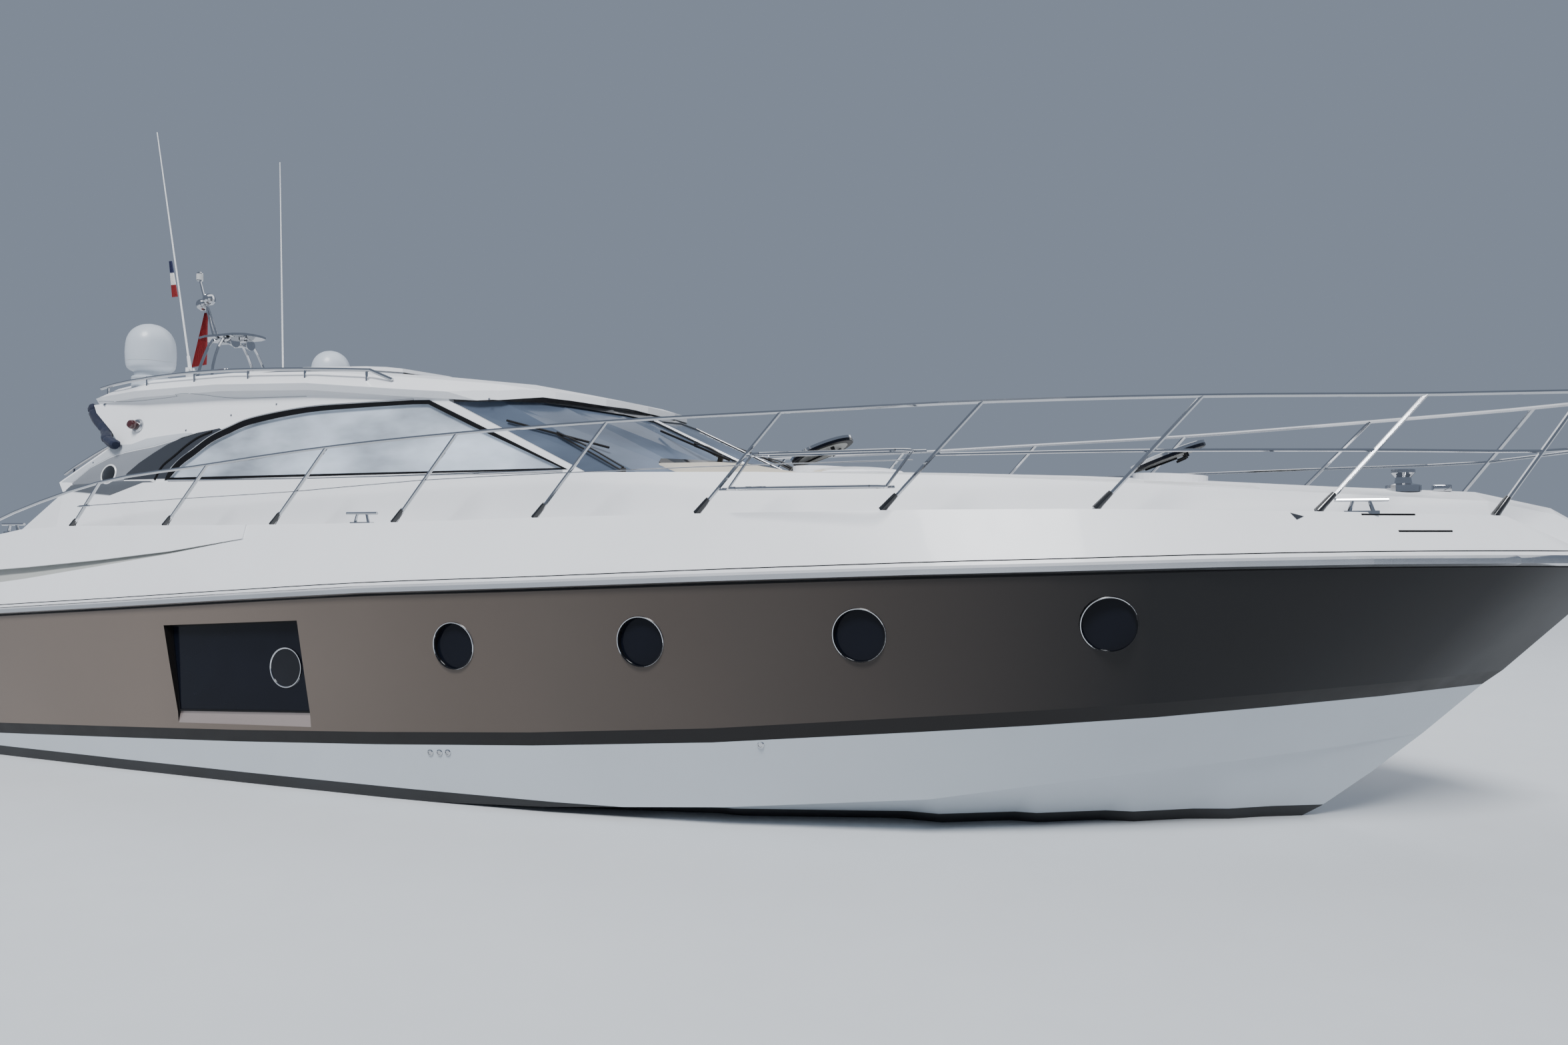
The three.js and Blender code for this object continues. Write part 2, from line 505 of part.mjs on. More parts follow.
// Rubbing strake around the sheer, in two lengths that meet at the stem
const STRAKE = { inset: 3, out: 44, half: 36 };
const strakeRings = sheerLine.map(({ x, y, z }, i) => {
  const before = sheerLine[Math.max(i - 1, 0)];
  const after = sheerLine[Math.min(i + 1, sheerLine.length - 1)];
  const tip = i === sheerLine.length - 1;
  const length = Math.hypot(after.x - before.x, after.y - before.y);
  const [nx, ny] = [(before.y - after.y) / length, (after.x - before.x) / length];
  const at = (out, up) => (tip ? [x + out / nx, 0, z + up] : [x + nx * out, y + ny * out, z + up]);
  return [
    at(STRAKE.inset, -STRAKE.half), at(STRAKE.out, -STRAKE.half / 2),
    at(STRAKE.out, STRAKE.half / 2), at(STRAKE.inset, STRAKE.half),
  ];
});
const strakeHalf = loftSide(strakeRings);
addPair('strake', strakeHalf.mirror([0, 1, 0]).subtract(box(7000, 9000, -0.3, 500, 1500, 2500)), FINISH.steel);

// Recessed side window of the hull
const paneY = -RECESS.depthY;
const inwards = (points, [cx, cz], margin) => points.map(([x, z]) => {
  const length = Math.hypot(x - cx, z - cz);
  return [x - (x - cx) / length * margin, z - (z - cz) / length * margin];
});
addPair('hull_window', plateXZ(inwards(RECESS_OUTLINE, [-2450, 1040], 8), paneY - 14, paneY - GAP), FINISH.tinted);

// Stern: bathing platform on two brackets, garage lid, gate and ladder
const PLATFORM = { halfWidth: 2000, thick: 120, cornerRadius: 350 };
const platformOutline = [
  [TRANSOM_X - 3, -PLATFORM.halfWidth], [TRANSOM_X - 3, PLATFORM.halfWidth],
  ...[0, 1, 2, 3, 4].map((i) => {
    const a = Math.PI / 2 + (i / 4) * Math.PI / 2;
    return [PLATFORM_AFT_X + PLATFORM.cornerRadius * (1 + Math.cos(a)),
      PLATFORM.halfWidth - PLATFORM.cornerRadius * (1 - Math.sin(a))];
  }),
  ...[4, 3, 2, 1, 0].map((i) => {
    const a = Math.PI / 2 + (i / 4) * Math.PI / 2;
    return [PLATFORM_AFT_X + PLATFORM.cornerRadius * (1 + Math.cos(a)),
      -PLATFORM.halfWidth + PLATFORM.cornerRadius * (1 - Math.sin(a))];
  }),
];
const platformPlate = plateXY(platformOutline, PLATFORM_TOP_Z - PLATFORM.thick, PLATFORM_TOP_Z);
const bracketShape = [
  [TRANSOM_X - 3, PLATFORM_TOP_Z - 100], [TRANSOM_X - 3, 190], [TRANSOM_X - 120, 190], [-7900, PLATFORM_TOP_Z - 115],
  [-7900, PLATFORM_TOP_Z - 100],
];
addMesh('bathing_platform', joined(platformPlate, plateXZ(bracketShape, 1350, 1470), plateXZ(bracketShape, -1470, -1350)),
  FINISH.gelcoat);
const LADDER = { y: 1250, hingeX: PLATFORM_AFT_X - 30, hingeZ: PLATFORM_TOP_Z + 30, length: 900, half: 190, radius: 16 };
const ladderTubes = [-1, 1].map((side) => rod([LADDER.hingeX, LADDER.y + side * LADDER.half, LADDER.hingeZ],
  [LADDER.hingeX + LADDER.length, LADDER.y + side * LADDER.half, LADDER.hingeZ], LADDER.radius));
const ladderTreads = [0.25, 0.55, 0.85].map((share) => box(LADDER.hingeX + share * LADDER.length - 30,
  LADDER.hingeX + share * LADDER.length + 30, LADDER.y - LADDER.half, LADDER.y + LADDER.half,
  LADDER.hingeZ - 12, LADDER.hingeZ + 12));
const ladderPin = rod([LADDER.hingeX, LADDER.y - LADDER.half - 16, LADDER.hingeZ],
  [LADDER.hingeX, LADDER.y + LADDER.half + 16, LADDER.hingeZ], LADDER.radius);
addMesh('boarding_ladder', joined(...ladderTubes, ...ladderTreads, ladderPin), FINISH.steel);
addMesh('garage_lid', box(TRANSOM_X, TRANSOM_X + GARAGE.lidThick, GARAGE.y0 + GARAGE.margin, GARAGE.y1 - GARAGE.margin,
  GARAGE.z0 + GARAGE.margin, GARAGE.z1 - GARAGE.margin), FINISH.bronze);
const GATE = { x: -6120, thick: 35, margin: 12, topZ: 2080 };
addMesh('stern_gate', box(GATE.x, GATE.x + GATE.thick, GATE_IN_Y + GATE.margin, COCKPIT_HALF_WIDTH - GATE.margin,
  SOLE_Z + 20, GATE.topZ), FINISH.gelcoat);

// Engines as plain blocks
const ENGINE = { x0: -5600, x1: -4150, y0: 380, y1: 1120, z0: -70, z1: 850 };
addPair('engine', box(ENGINE.x0, ENGINE.x1, -ENGINE.y1, -ENGINE.y0, ENGINE.z0, ENGINE.z1), FINISH.castIron);

// Running gear
const BLADE_COLUMNS = ['radius', 'chord', 'thick', 'pitchAngle'];
const BLADE_SECTIONS = rowsOf(BLADE_COLUMNS, [
  [48, 110, 26, 66], [110, 170, 20, 48], [190, 215, 14, 35], [260, 190, 9, 28], [308, 70, 6, 25],
]);
const bladeRings = BLADE_SECTIONS.map(({ radius, chord, thick, pitchAngle }) => {
  const a = THREE.MathUtils.degToRad(pitchAngle);
  const place = (chordwise, out) => [
    chordwise * Math.sin(a) + out * Math.cos(a), chordwise * Math.cos(a) - out * Math.sin(a), radius];
  return [place(-chord / 2, 0), place(0, -thick / 2), place(chord / 2, 0), place(0, thick / 2)];
});
const blade = loftSide(bladeRings);
const hubX = [-110, 95];
const BLADES = 4;
const propellerParts = [
  rod([hubX[0], 0, 0], [hubX[1], 0, 0], PROPELLER.hubRadius - 14, 16, PROPELLER.hubRadius),
  rod([hubX[0] - 60, 0, 0], [hubX[0], 0, 0], 12, 16, PROPELLER.hubRadius - 14),
  rod([hubX[1] - 5, 0, 0], [SHAFT_LENGTH, 0, 0], PROPELLER.shaftRadius, 16),
  ...Array.from({ length: BLADES }, (_, i) => blade.rotate([i * 360 / BLADES, 0, 0])),
];
const shaftTilt = -THREE.MathUtils.radToDeg(SHAFT_ANGLE);
addPair('propeller', joined(...propellerParts).rotate([0, shaftTilt, 0])
  .translate([PROPELLER.x, -PROPELLER.y, PROPELLER.z]), FINISH.bronzeCast);

const foil = (x0, x1, y, thick) => {
  const chord = x1 - x0;
  return [[x1, y], [x1 - 0.08 * chord, y + thick * 0.36], [x1 - 0.3 * chord, y + thick / 2], [x0, y + 5],
    [x0, y - 5], [x1 - 0.3 * chord, y - thick / 2], [x1 - 0.08 * chord, y - thick * 0.36]];
};
const rudderBlade = plateXY(foil(RUDDER.x - 250, RUDDER.x + 110, -RUDDER.y, 52), RUDDER.bottomZ, RUDDER.topZ);
const rudderStock = rod([RUDDER.x, -RUDDER.y, RUDDER.topZ - 200], [RUDDER.x, -RUDDER.y, -270], RUDDER.stockRadius, 16);
addPair('rudder', rudderBlade.add(rudderStock), FINISH.bronzeCast);

const aftBottom = hullRows[0];
const deadrise = Math.atan2(aftBottom.chineZ - CHINE_FLAT / 6 - aftBottom.keelZ, aftBottom.chineY - CHINE_FLAT);
const tabZ = (y) => aftBottom.keelZ + y * Math.tan(deadrise);
const tabWidth = (TRIM_TAB.outY - TRIM_TAB.inY) / Math.cos(deadrise);
const TAB_GAP = 8;
const tab = joined(
  box(TRANSOM_X - TAB_GAP - TRIM_TAB.length, TRANSOM_X - TAB_GAP, -tabWidth, 0, 0, TRIM_TAB.thick),
  box(TRANSOM_X - TAB_GAP - TRIM_TAB.length, TRANSOM_X - TAB_GAP - 60, -tabWidth / 2 - 8, -tabWidth / 2 + 8, 0, 60),
).rotate([-THREE.MathUtils.radToDeg(deadrise), 0, 0]).translate([0, -TRIM_TAB.inY, tabZ(TRIM_TAB.inY) + 4]);
addPair('trim_tab', tab, FINISH.steel);

// Hardtop with its opening and sliding panel
const roofRows = rowsOf(ROOF_COLUMNS, ROOF_SECTIONS);
const ROOF_THICK = 60;
const roofHalf = ({ halfWidth, edgeZ, crownZ }, up = 0) => {
  const rise = crownZ - edgeZ;
  return [[halfWidth, edgeZ + up], [halfWidth * 0.86, edgeZ + rise * 0.55 + up],
    [halfWidth * 0.5, edgeZ + rise * 0.88 + up], [0, crownZ + up]];
};
const shellRing = (x, outer, inner) => [
  ...outer.map(([y, z]) => [x, -y, z]), ...outer.slice(0, -1).reverse().map(([y, z]) => [x, y, z]),
  ...inner.map(([y, z]) => [x, y, z]), ...inner.slice(0, -1).reverse().map(([y, z]) => [x, -y, z]),
];
const roofRings = roofRows.map((row) => {
  const inner = roofHalf(row, -ROOF_THICK).map(([y, z], i) => [i === 0 ? y - 45 : y, z]);
  return shellRing(row.x, roofHalf(row), inner);
});
const browPlan = [[-5300, -1600], [-900, -1600], ...BROW.map(([x, y]) => [x, -y]),
  ...BROW.slice(0, -1).reverse(), [-900, 1600], [-5300, 1600]];
const fullRoof = loft(roofRings).intersect(plateXY(browPlan, 3000, 4200));
const roofZ = (x, y) => {
  const i = Math.max(1, roofRows.findIndex((row) => row.x >= x));
  const [a, b] = [roofRows[i - 1], roofRows[i]];
  const share = (x - a.x) / (b.x - a.x);
  const row = { halfWidth: 0, edgeZ: 0, crownZ: 0 };
  Object.keys(row).forEach((key) => { row[key] = a[key] + share * (b[key] - a[key]); });
  const half = roofHalf(row);
  const k = half.findIndex(([halfY]) => halfY <= Math.abs(y));
  const [[y1, z1], [y0, z0]] = [half[Math.max(k, 1) - 1], half[Math.max(k, 1)]];
  return z0 + ((Math.abs(y) - y0) / (y1 - y0)) * (z1 - z0);
};
const ROOF_OPENING = { x0: -3650, x1: -2150, halfWidth: 560, radius: 120 };
const openingCut = plateXY(roundedOutline(ROOF_OPENING.x0, ROOF_OPENING.x1, -ROOF_OPENING.halfWidth,
  ROOF_OPENING.halfWidth, ROOF_OPENING.radius), 3000, 4300);
const aerialFoot = (y) => joined(
  rod([ANTENNA.x, y, ANTENNA.footZ - 30], [ANTENNA.x, y, ANTENNA.hingeZ - 42], 42, 16),
  ...[-1, 1].map((side) => box(ANTENNA.x - 22, ANTENNA.x + 22, y + side * 33 - 6, y + side * 33 + 6,
    ANTENNA.hingeZ - 50, ANTENNA.hingeZ + 16)),
);
addMesh('hardtop', joined(fullRoof.subtract(openingCut), aerialFoot(-ANTENNA.y), aerialFoot(ANTENNA.y)), FINISH.gelcoat);
const PANEL = { x0: -3950, x1: -1950, halfWidth: 700, clear: 22, thick: 34 };
const panelXs = [PANEL.x0, -3500, -2950, -2400, PANEL.x1];
const panelRings = panelXs.map((x) => {
  const ys = [PANEL.halfWidth, PANEL.halfWidth * 0.6, 0];
  const under = ys.map((y) => [y, roofZ(x, y) + PANEL.clear]);
  const end = x === PANEL.x0 || x === PANEL.x1;
  const over = ys.map((y, i) => [y, roofZ(x, y) + PANEL.clear + PANEL.thick + (i === 0 || end ? 0 : 26)]);
  return shellRing(x, over, under);
});
addMesh('roof_panel', loft(panelRings), FINISH.gelcoat);

// Cabin sides: arched frames leaning inwards, from the coaming up to the roof
const SIDE_OUTLINE = [
  [-5600, 2724], [-5461, 2560], [-4360, 2560], [-4360, 2702], [620, 2702], [-840, 3372], [-900, 3500],
  [-1300, 3640], [-3500, 3780], [-5300, 3760], [-5361, 3563], [-5275, 3446], [-5000, 3245], [-4880, 3130],
];
const WINDOW_OUTLINE = [
  [420, 2737], [-549, 3142], [-1060, 3364], [-1232, 3370], [-1800, 3364], [-2457, 3344], [-3096, 3262],
  [-3389, 3173], [-3599, 3090], [-3778, 2975], [-3939, 2871], [-4072, 2735],
];
const leaning = (solid) => solid.warp((point) => {
  point[1] += Math.tan(SIDE_LEAN) * (point[2] - SIDE_BASE_Z);
});
const sideOuterY = -SIDE_BASE_Y;
// All that is above the roof's underside, or above its top
const overRoof = (up, inset) => loft(roofRows.map((row) => {
  const [[edgeY, edgeZ], ...rest] = roofHalf(row, up);
  const under = [[edgeY + 200, edgeZ], [edgeY - inset, edgeZ], ...rest];
  return shellRing(row.x, under.map(([y]) => [y, 5600]), under);
}));
const aboveRoof = overRoof(-ROOF_THICK - GAP, 45);
const aboveTop = overRoof(GAP, 1);
const sidePlate = leaning(plateXZ(SIDE_OUTLINE, sideOuterY, sideOuterY + SIDE_THICK, [WINDOW_OUTLINE]))
  .subtract(aboveRoof).subtract(clearOfDeck);
addPair('cabin_side', sidePlate, FINISH.gelcoat);
addPair('side_glass', leaning(plateXZ(inwards(WINDOW_OUTLINE, [-1600, 3000], 3), sideOuterY + 25, sideOuterY + 37)),
  FINISH.glass);

// Windscreen: a pane that wraps round from pillar to pillar, and the frame that carries it
const SCREEN_COLUMNS = ['footX', 'footY', 'headX', 'headY', 'headZ'];
const SCREEN_HALF = rowsOf(SCREEN_COLUMNS, [
  [622, 1545, -838, 1400, 3366], [1050, 1450, -350, 1320, 3362], [1450, 1200, 100, 1120, 3345],
  [1690, 800, 420, 800, 3325], [1800, 400, 600, 400, 3310], [1830, 0, 660, 0, 3305],
]);
const screenStations = [
  ...SCREEN_HALF.map((row) => ({ ...row, footY: -row.footY, headY: -row.headY })),
  ...SCREEN_HALF.slice(0, -1).reverse(),
];
const screenFootZ = (x, y) => {
  const [shoulderY, shoulderZ, crownZ] = between(deckRows, x, 'shoulderY', 'shoulderZ', 'crownZ');
  return crownZ + Math.min(1, Math.abs(y) / shoulderY) * (shoulderZ - crownZ);
};
// Outward direction in plan at a station, for the foot's and the head's line
const outwardAt = (i, xName, yName) => {
  const a = screenStations[Math.max(i - 1, 0)];
  const b = screenStations[Math.min(i + 1, screenStations.length - 1)];
  const length = Math.hypot(b[xName] - a[xName], b[yName] - a[yName]);
  return [(b[yName] - a[yName]) / length, -(b[xName] - a[xName]) / length];
};
const screenSolid = (outer, inner, drop) => loftSide(screenStations.map((station, i) => {
  const { footX, footY, headX, headY, headZ } = station;
  const footZ = screenFootZ(footX, footY);
  const past = drop / (headZ - footZ); // the pane's line runs on below its foot
  const foot = outwardAt(i, 'footX', 'footY');
  const head = outwardAt(i, 'headX', 'headY');
  const low = (inset) => [footX + past * (footX - headX) - foot[0] * inset,
    footY + past * (footY - headY) - foot[1] * inset, footZ - drop];
  const high = (inset) => [headX - head[0] * inset, headY - head[1] * inset, headZ];
  return [low(outer), low(inner), high(inner), high(outer)];
}));
const sideGrown = leaning(plateXZ(SIDE_OUTLINE, sideOuterY - 3, sideOuterY + SIDE_THICK + 3));
const grownSide = joined(sideGrown, sideGrown.translate([3, 0, 0]));
const clearOfShell = (solid) => solid.subtract(clearOfDeck).subtract(aboveRoof).subtract(grownSide)
  .subtract(grownSide.mirror([0, 1, 0]));
const FRAME_THICK = 34;
const SCREEN_BAND = { foot: 40, head: 50 };
const frameWhole = clearOfShell(screenSolid(0, FRAME_THICK, 60));
const MULLION_YS = [-500, 500];
const bands = joined(
  clearOfDeck.translate([0, 0, SCREEN_BAND.foot]),
  aboveRoof.translate([0, 0, -SCREEN_BAND.head]),
  ...MULLION_YS.map((y) => box(0, 2600, y - 26, y + 26, 2600, 3600)),
  joined(...[40, 80].map((dx) => sideGrown.translate([dx, 0, 0]))),
  joined(...[40, 80].map((dx) => sideGrown.translate([dx, 0, 0]))).mirror([0, 1, 0]),
);
const biggest = (solid) => solid.decompose().sort((a, b) => b.volume() - a.volume())[0];
addMesh('windscreen_frame', biggest(frameWhole.intersect(bands)), FINISH.plastic);
addMesh('windscreen_glass', biggest(clearOfShell(screenSolid(FRAME_THICK + 1, FRAME_THICK + 11, 60))), FINISH.glass);

// Handrails on the hardtop
const ROOF_RAIL = { radius: 17, up: 85, sides: 8 };
const RAIL_LINE = [[-5330, -1290], [-4950, -1365], [-4300, -1385], [-3600, -1390], [-2900, -1385], [-2200, -1380],
  [-1600, -1370]]; // x, y
const ROOF_RAIL_FEET = [[-5200, -1315], [-4560, -1379], [-3900, -1388], [-3200, -1388], [-2500, -1382], [-1780, -1373]];
const roofRailPoints = RAIL_LINE.map(([x, y]) => [x, y, roofZ(x, y) + ROOF_RAIL.up]);
roofRailPoints.push([-1490, -1368, roofZ(-1490, -1368) + 22]);
const roofFeet = ROOF_RAIL_FEET.map(([x, y]) => rod([x, y, roofZ(x, y) - 25], [x, y, roofZ(x, y) + ROOF_RAIL.up + 4], 12, 6));
const roofAlone = fullRoof.translate([0, 0, GAP]);
addPair('roof_rail', joined(bentTube(roofRailPoints, ROOF_RAIL.radius, 14, ROOF_RAIL.sides), ...roofFeet)
  .subtract(roofAlone), FINISH.steel);

// Mast: four bent legs, a plate with two horns below it, and a raked light pole
const legPath = (sx, sy) => [
  [MAST.x + sx * MAST.halfLength * 0.5, sy * MAST.footY, MAST.footZ + 45],
  [MAST.x + sx * MAST.halfLength * 0.36 - 20, sy * MAST.footY * 0.82, MAST.footZ + 330],
  [MAST.x + sx * MAST.halfLength * 0.3 - 40, sy * MAST.footY * 0.45, MAST.topZ - 40],
  [MAST.x + sx * MAST.halfLength * 0.3 - 40, sy * MAST.footY * 0.2, MAST.topZ - 4],
];
const legs = [[-1, -1], [-1, 1], [1, -1], [1, 1]].map(([sx, sy]) => bentTube(legPath(sx, sy), 15, 6, 6));
const pads = [-1, 1].map((sy) => box(MAST.x - 200, MAST.x + 200, sy * MAST.footY - 45, sy * MAST.footY + 45,
  MAST.footZ + 30, MAST.footZ + 85));
const topPlate = plateXY([[-5390, -60], [-5330, -150], [-5180, -MAST.halfWidth], [-4760, -MAST.halfWidth], [-4640, -150],
  [-4600, -60], [-4600, 60], [-4640, 150], [-4760, MAST.halfWidth], [-5180, MAST.halfWidth], [-5330, 150], [-5390, 60]],
MAST.topZ - 14, MAST.topZ + 12);
const horns = [-1, 1].map((sy) => turned([[0, 0], [16, 0], [20, 150], [62, 240], [62, 250], [0, 250]], 12, 0, 0, 0)
  .rotate([0, 90, 0]).translate([MAST.x - 130, sy * 105, MAST.topZ - 75]));
const hornStems = [-1, 1].map((sy) => rod([MAST.x - 60, sy * 105, MAST.topZ - 80], [MAST.x - 60, sy * 105, MAST.topZ], 10));
const POLE = { footX: -5260, footZ: MAST.topZ, topX: -5500, topZ: 5185 };
const pole = rod([POLE.footX, 0, POLE.footZ], [POLE.topX, 0, POLE.topZ], 16, 8, 12);
const lamp = turned([[0, 0], [34, 0], [34, 90], [20, 105], [0, 105]], 12, POLE.topX, 0, POLE.topZ - 15);
const secondPole = rod([-5200, 0, POLE.footZ], [-5370, 0, 4860], 12);
const balls = [[-5350, 4940], [-5455, 4885]].map(([x, z]) =>
  solidOf(new THREE.SphereGeometry(70, 14, 9).translate(x, 0, z)));
addMesh('mast', joined(...legs, ...pads, topPlate, ...horns, ...hornStems, pole, secondPole, lamp, ...balls)
  .subtract(roofAlone), FINISH.steel);

// Twin domes and twin folding aerials
const domeProfile = [
  [150, DOME.bodyZ - 65], [150, DOME.bodyZ - 18], [188, DOME.bodyZ], [DOME.radius + 12, DOME.bodyZ + 60],
  [DOME.radius + 18, DOME.bodyZ + 220], [DOME.radius + 4, DOME.topZ - 165], [165, DOME.topZ - 75],
  [95, DOME.topZ - 20], [0, DOME.topZ],
];
for (const [i, [side, { x, lift }]] of Object.entries(DOMES).entries()) {
  const foot = [[0, 3700 - lift], [172, 3700 - lift], [172, DOME.bodyZ - 65]];
  const dome = turned([...foot, ...domeProfile], 28, x, (2 * i - 1) * DOME.y, lift);
  addMesh(`dome_${side}`, dome.intersect(aboveTop), FINISH.plastic);
}
const AERIAL_RAKE = 11; // degrees, the starboard one
const aerial = (y, rake) => joined(
  rod([0, 0, -20], [0, 0, 150], 20, 10, 16),
  rod([0, 0, 140], [0, 0, ANTENNA.length], ANTENNA.radius, 8, 5),
).rotate([0, -rake, 0]).translate([ANTENNA.x, y, ANTENNA.hingeZ]);
addMesh('aerial_starboard', aerial(-ANTENNA.y, AERIAL_RAKE), FINISH.plastic);
addMesh('aerial_port', aerial(ANTENNA.y, 1.5), FINISH.plastic);

// Mooring cleats along the gunwales
const CLEATS = [{ name: 'bow', x: 6315 }, { name: 'mid', x: -1230 }, { name: 'aft', x: -5700 }];
const cappingAt = (x) => {
  const [gunwaleY, gunwaleZ] = between(deckRows, x, 'gunwaleY', 'gunwaleZ');
  return { y: gunwaleY - (CAPPING / 2) * Math.min(1, gunwaleY / 800), z: gunwaleZ };
};
for (const { name, x } of CLEATS) {
  const { y, z } = cappingAt(x);
  const cleat = joined(
    rod([x - 160, -y, z + 82], [x + 160, -y, z + 82], 13, 8),
    rod([x - 75, -y, z - 10], [x - 48, -y, z + 80], 15, 8, 11),
    rod([x + 75, -y, z - 10], [x + 48, -y, z + 80], 15, 8, 11),
    box(x - 105, x + 105, -y - 26, -y + 26, z - 12, z + 10),
  ).subtract(clearOfDeck);
  addPair(`cleat_${name}`, cleat, FINISH.steel);
}
const WINDLASS = { x: 6800 };
const windlassZ = between(deckRows, WINDLASS.x, 'crownZ')[0];
addMesh('windlass', turned([[0, -20], [120, -20], [120, 30], [60, 45], [52, 90], [80, 125], [80, 150], [0, 150]], 20,
  WINDLASS.x, 0, windlassZ).subtract(clearOfDeck), FINISH.steel);

// Foredeck hatch lids, hinged aft and standing open
for (const [i, section] of frameSections.entries()) {
  const pinX = -HATCH.radius;
  const pinZ = HATCH_FRAME_UP + 6 + HATCH.thick / 2;
  const disc = rod([HATCH.radius, 0, -HATCH.thick / 2], [HATCH.radius, 0, HATCH.thick / 2], HATCH.radius, 32)
    .rotate([0, -THREE.MathUtils.radToDeg(HATCH.open), 0]).translate([pinX, 0, pinZ]);
  addMesh(`hatch_lid_${HATCHES[i].name}`, onRoof(disc, section), FINISH.tinted);
}

// Helm: console, wheel and double seat
const CONSOLE = { y0: -1000, y1: -300 };
const FASCIA = { foot: [0, 2050], head: [160, 2330] };
addMesh('helm_console', plateXZ([[0, 1451], [860, 1451], [860, 2500], [420, 2470], FASCIA.head, FASCIA.foot],
  CONSOLE.y0, CONSOLE.y1), FINISH.gelcoat);
const WHEEL = { y: -650, radius: 185, tube: 14, standOff: 115 };
const fasciaAngle = Math.atan2(FASCIA.head[1] - FASCIA.foot[1], FASCIA.head[0] - FASCIA.foot[0]);
const fasciaMid = [(FASCIA.foot[0] + FASCIA.head[0]) / 2, (FASCIA.foot[1] + FASCIA.head[1]) / 2];
const wheelBody = joined(
  solidOf(new THREE.TorusGeometry(WHEEL.radius, WHEEL.tube, 6, 24)),
  ...[90, 210, 330].map((deg) => rod([0, 0, -10], [WHEEL.radius * Math.cos(THREE.MathUtils.degToRad(deg)),
    WHEEL.radius * Math.sin(THREE.MathUtils.degToRad(deg)), 0], 9)),
  rod([0, 0, 10 - WHEEL.standOff], [0, 0, 14], 32, 16),
);
const wheelTurn = -THREE.MathUtils.radToDeg(fasciaAngle);
addMesh('steering_wheel', wheelBody.rotate([0, wheelTurn, 0]).translate([
  fasciaMid[0] - WHEEL.standOff * Math.sin(fasciaAngle), WHEEL.y, fasciaMid[1] + WHEEL.standOff * Math.cos(fasciaAngle)]),
  FINISH.dark);
addMesh('helm_seat', plateXZ([[-1250, 1451], [-850, 1451], [-850, 1880], [-740, 1920], [-740, 2020], [-1220, 2020],
  [-1320, 2620], [-1420, 2620], [-1350, 1900], [-1250, 1860]], -1200, -350), FINISH.cushion);

// Saloon and cockpit furniture
addMesh('settee', joined(
  box(-4000, -1500, 800, 1360, 1451, 1880), box(-4000, -1500, 1230, 1360, 1870, 2330),
  box(-4560, -3990, 150, 1360, 1451, 1880), box(-4560, -4430, 150, 1360, 1870, 2330),
), FINISH.cushion);
addMesh('table', joined(
  box(-3500, -2300, 80, 700, 2140, 2180), rod([-2900, 390, 1460], [-2900, 390, 2150], 45, 12),
  rod([-2900, 390, 1451], [-2900, 390, 1466], 180, 20),
), FINISH.teak);
addMesh('galley', box(-4400, -2200, -1360, -830, 1451, 2330), FINISH.gelcoat);

// Soft parts
const sunpadArea = plateXY(roundedOutline(-6940, -6090, -1330, 640, 120), 1800, 2900);
addMesh('sunpad', sunpadArea.intersect(deckHull.translate([0, 0, 110])).subtract(deckHull.translate([0, 0, 6])),
  FINISH.cushion);
const rollPath = [[-5406, -1330, 3531], [-5314, -1355, 3407], [-5090, -1405, 3235], [-4960, -1497, 3155],
  [-4790, -1530, 3085]];
addPair('canvas_roll', bentTube(rollPath, 45, 12), FINISH.canvas);
addMesh('flag', plateXZ([[-5420, 4800], [-5445, 4800], [-5640, 4180], [-5480, 4120]], 30, 34), FINISH.canvas);

// Guard rails with the fender basket, one each side, meeting at the bow
const stanchionRows = rowsOf(STANCHION_COLUMNS, STANCHIONS);
const railHead = ({ footX, headX, headZ }) => {
  const { y } = cappingAt(Math.min(headX, 7500));
  return [headX, -Math.max(y, headX > 7500 ? 420 : 0), headZ];
};
const railPoints = [[-6500, -cappingAt(-6500).y, 2120], [-6350, -cappingAt(-6350).y, 2190], [-5900, -cappingAt(-5900).y, 2350],
  ...stanchionRows.map(railHead), [8080, -230, 3172], [8170, 0, 3174], [8170, 60, 3174]];
const posts = stanchionRows.map((row) => {
  const { y, z } = cappingAt(row.footX);
  return rod([row.footX, -y, z - 12], railHead(row), STANCHION_RADIUS, 6);
});
const sockets = stanchionRows.map((row) => {
  const { y, z } = cappingAt(row.footX);
  const [hx, hy, hz] = railHead(row);
  const share = 0.13;
  return rod([row.footX, -y, z - 12], [row.footX + share * (hx - row.footX), -y + share * (hy + y), z + share * (hz - z)],
    24, 6, 16);
});
const midHeads = stanchionRows.filter((row) => row.footX > 3000).map((row) => {
  const { y, z } = cappingAt(row.footX);
  const [hx, hy, hz] = railHead(row);
  const share = 0.52;
  return [row.footX + share * (hx - row.footX), -y + share * (hy + y), z + share * (hz - z)];
});
const midRail = bentTube([...midHeads, [7900, -200, 2800], [8000, 0, 2805], [8000, 60, 2805]], 11, 12, 6);
const BASKET = { y: -2060, half: 95, radius: 11 };
const basketLoop = (x0, x1, z) => {
  const side = (s) => rod([x0, BASKET.y + s * BASKET.half, z], [x1, BASKET.y + s * BASKET.half, z], BASKET.radius, 6);
  const end = (x, s) => bentTube([-90, -45, 0, 45, 90].map((deg) => {
    const a = THREE.MathUtils.degToRad(deg);
    return [x + s * BASKET.half * Math.cos(a), BASKET.y + BASKET.half * Math.sin(a), z];
  }), BASKET.radius, 5, 6);
  return joined(side(-1), side(1), end(x0, -1), end(x1, 1));
};
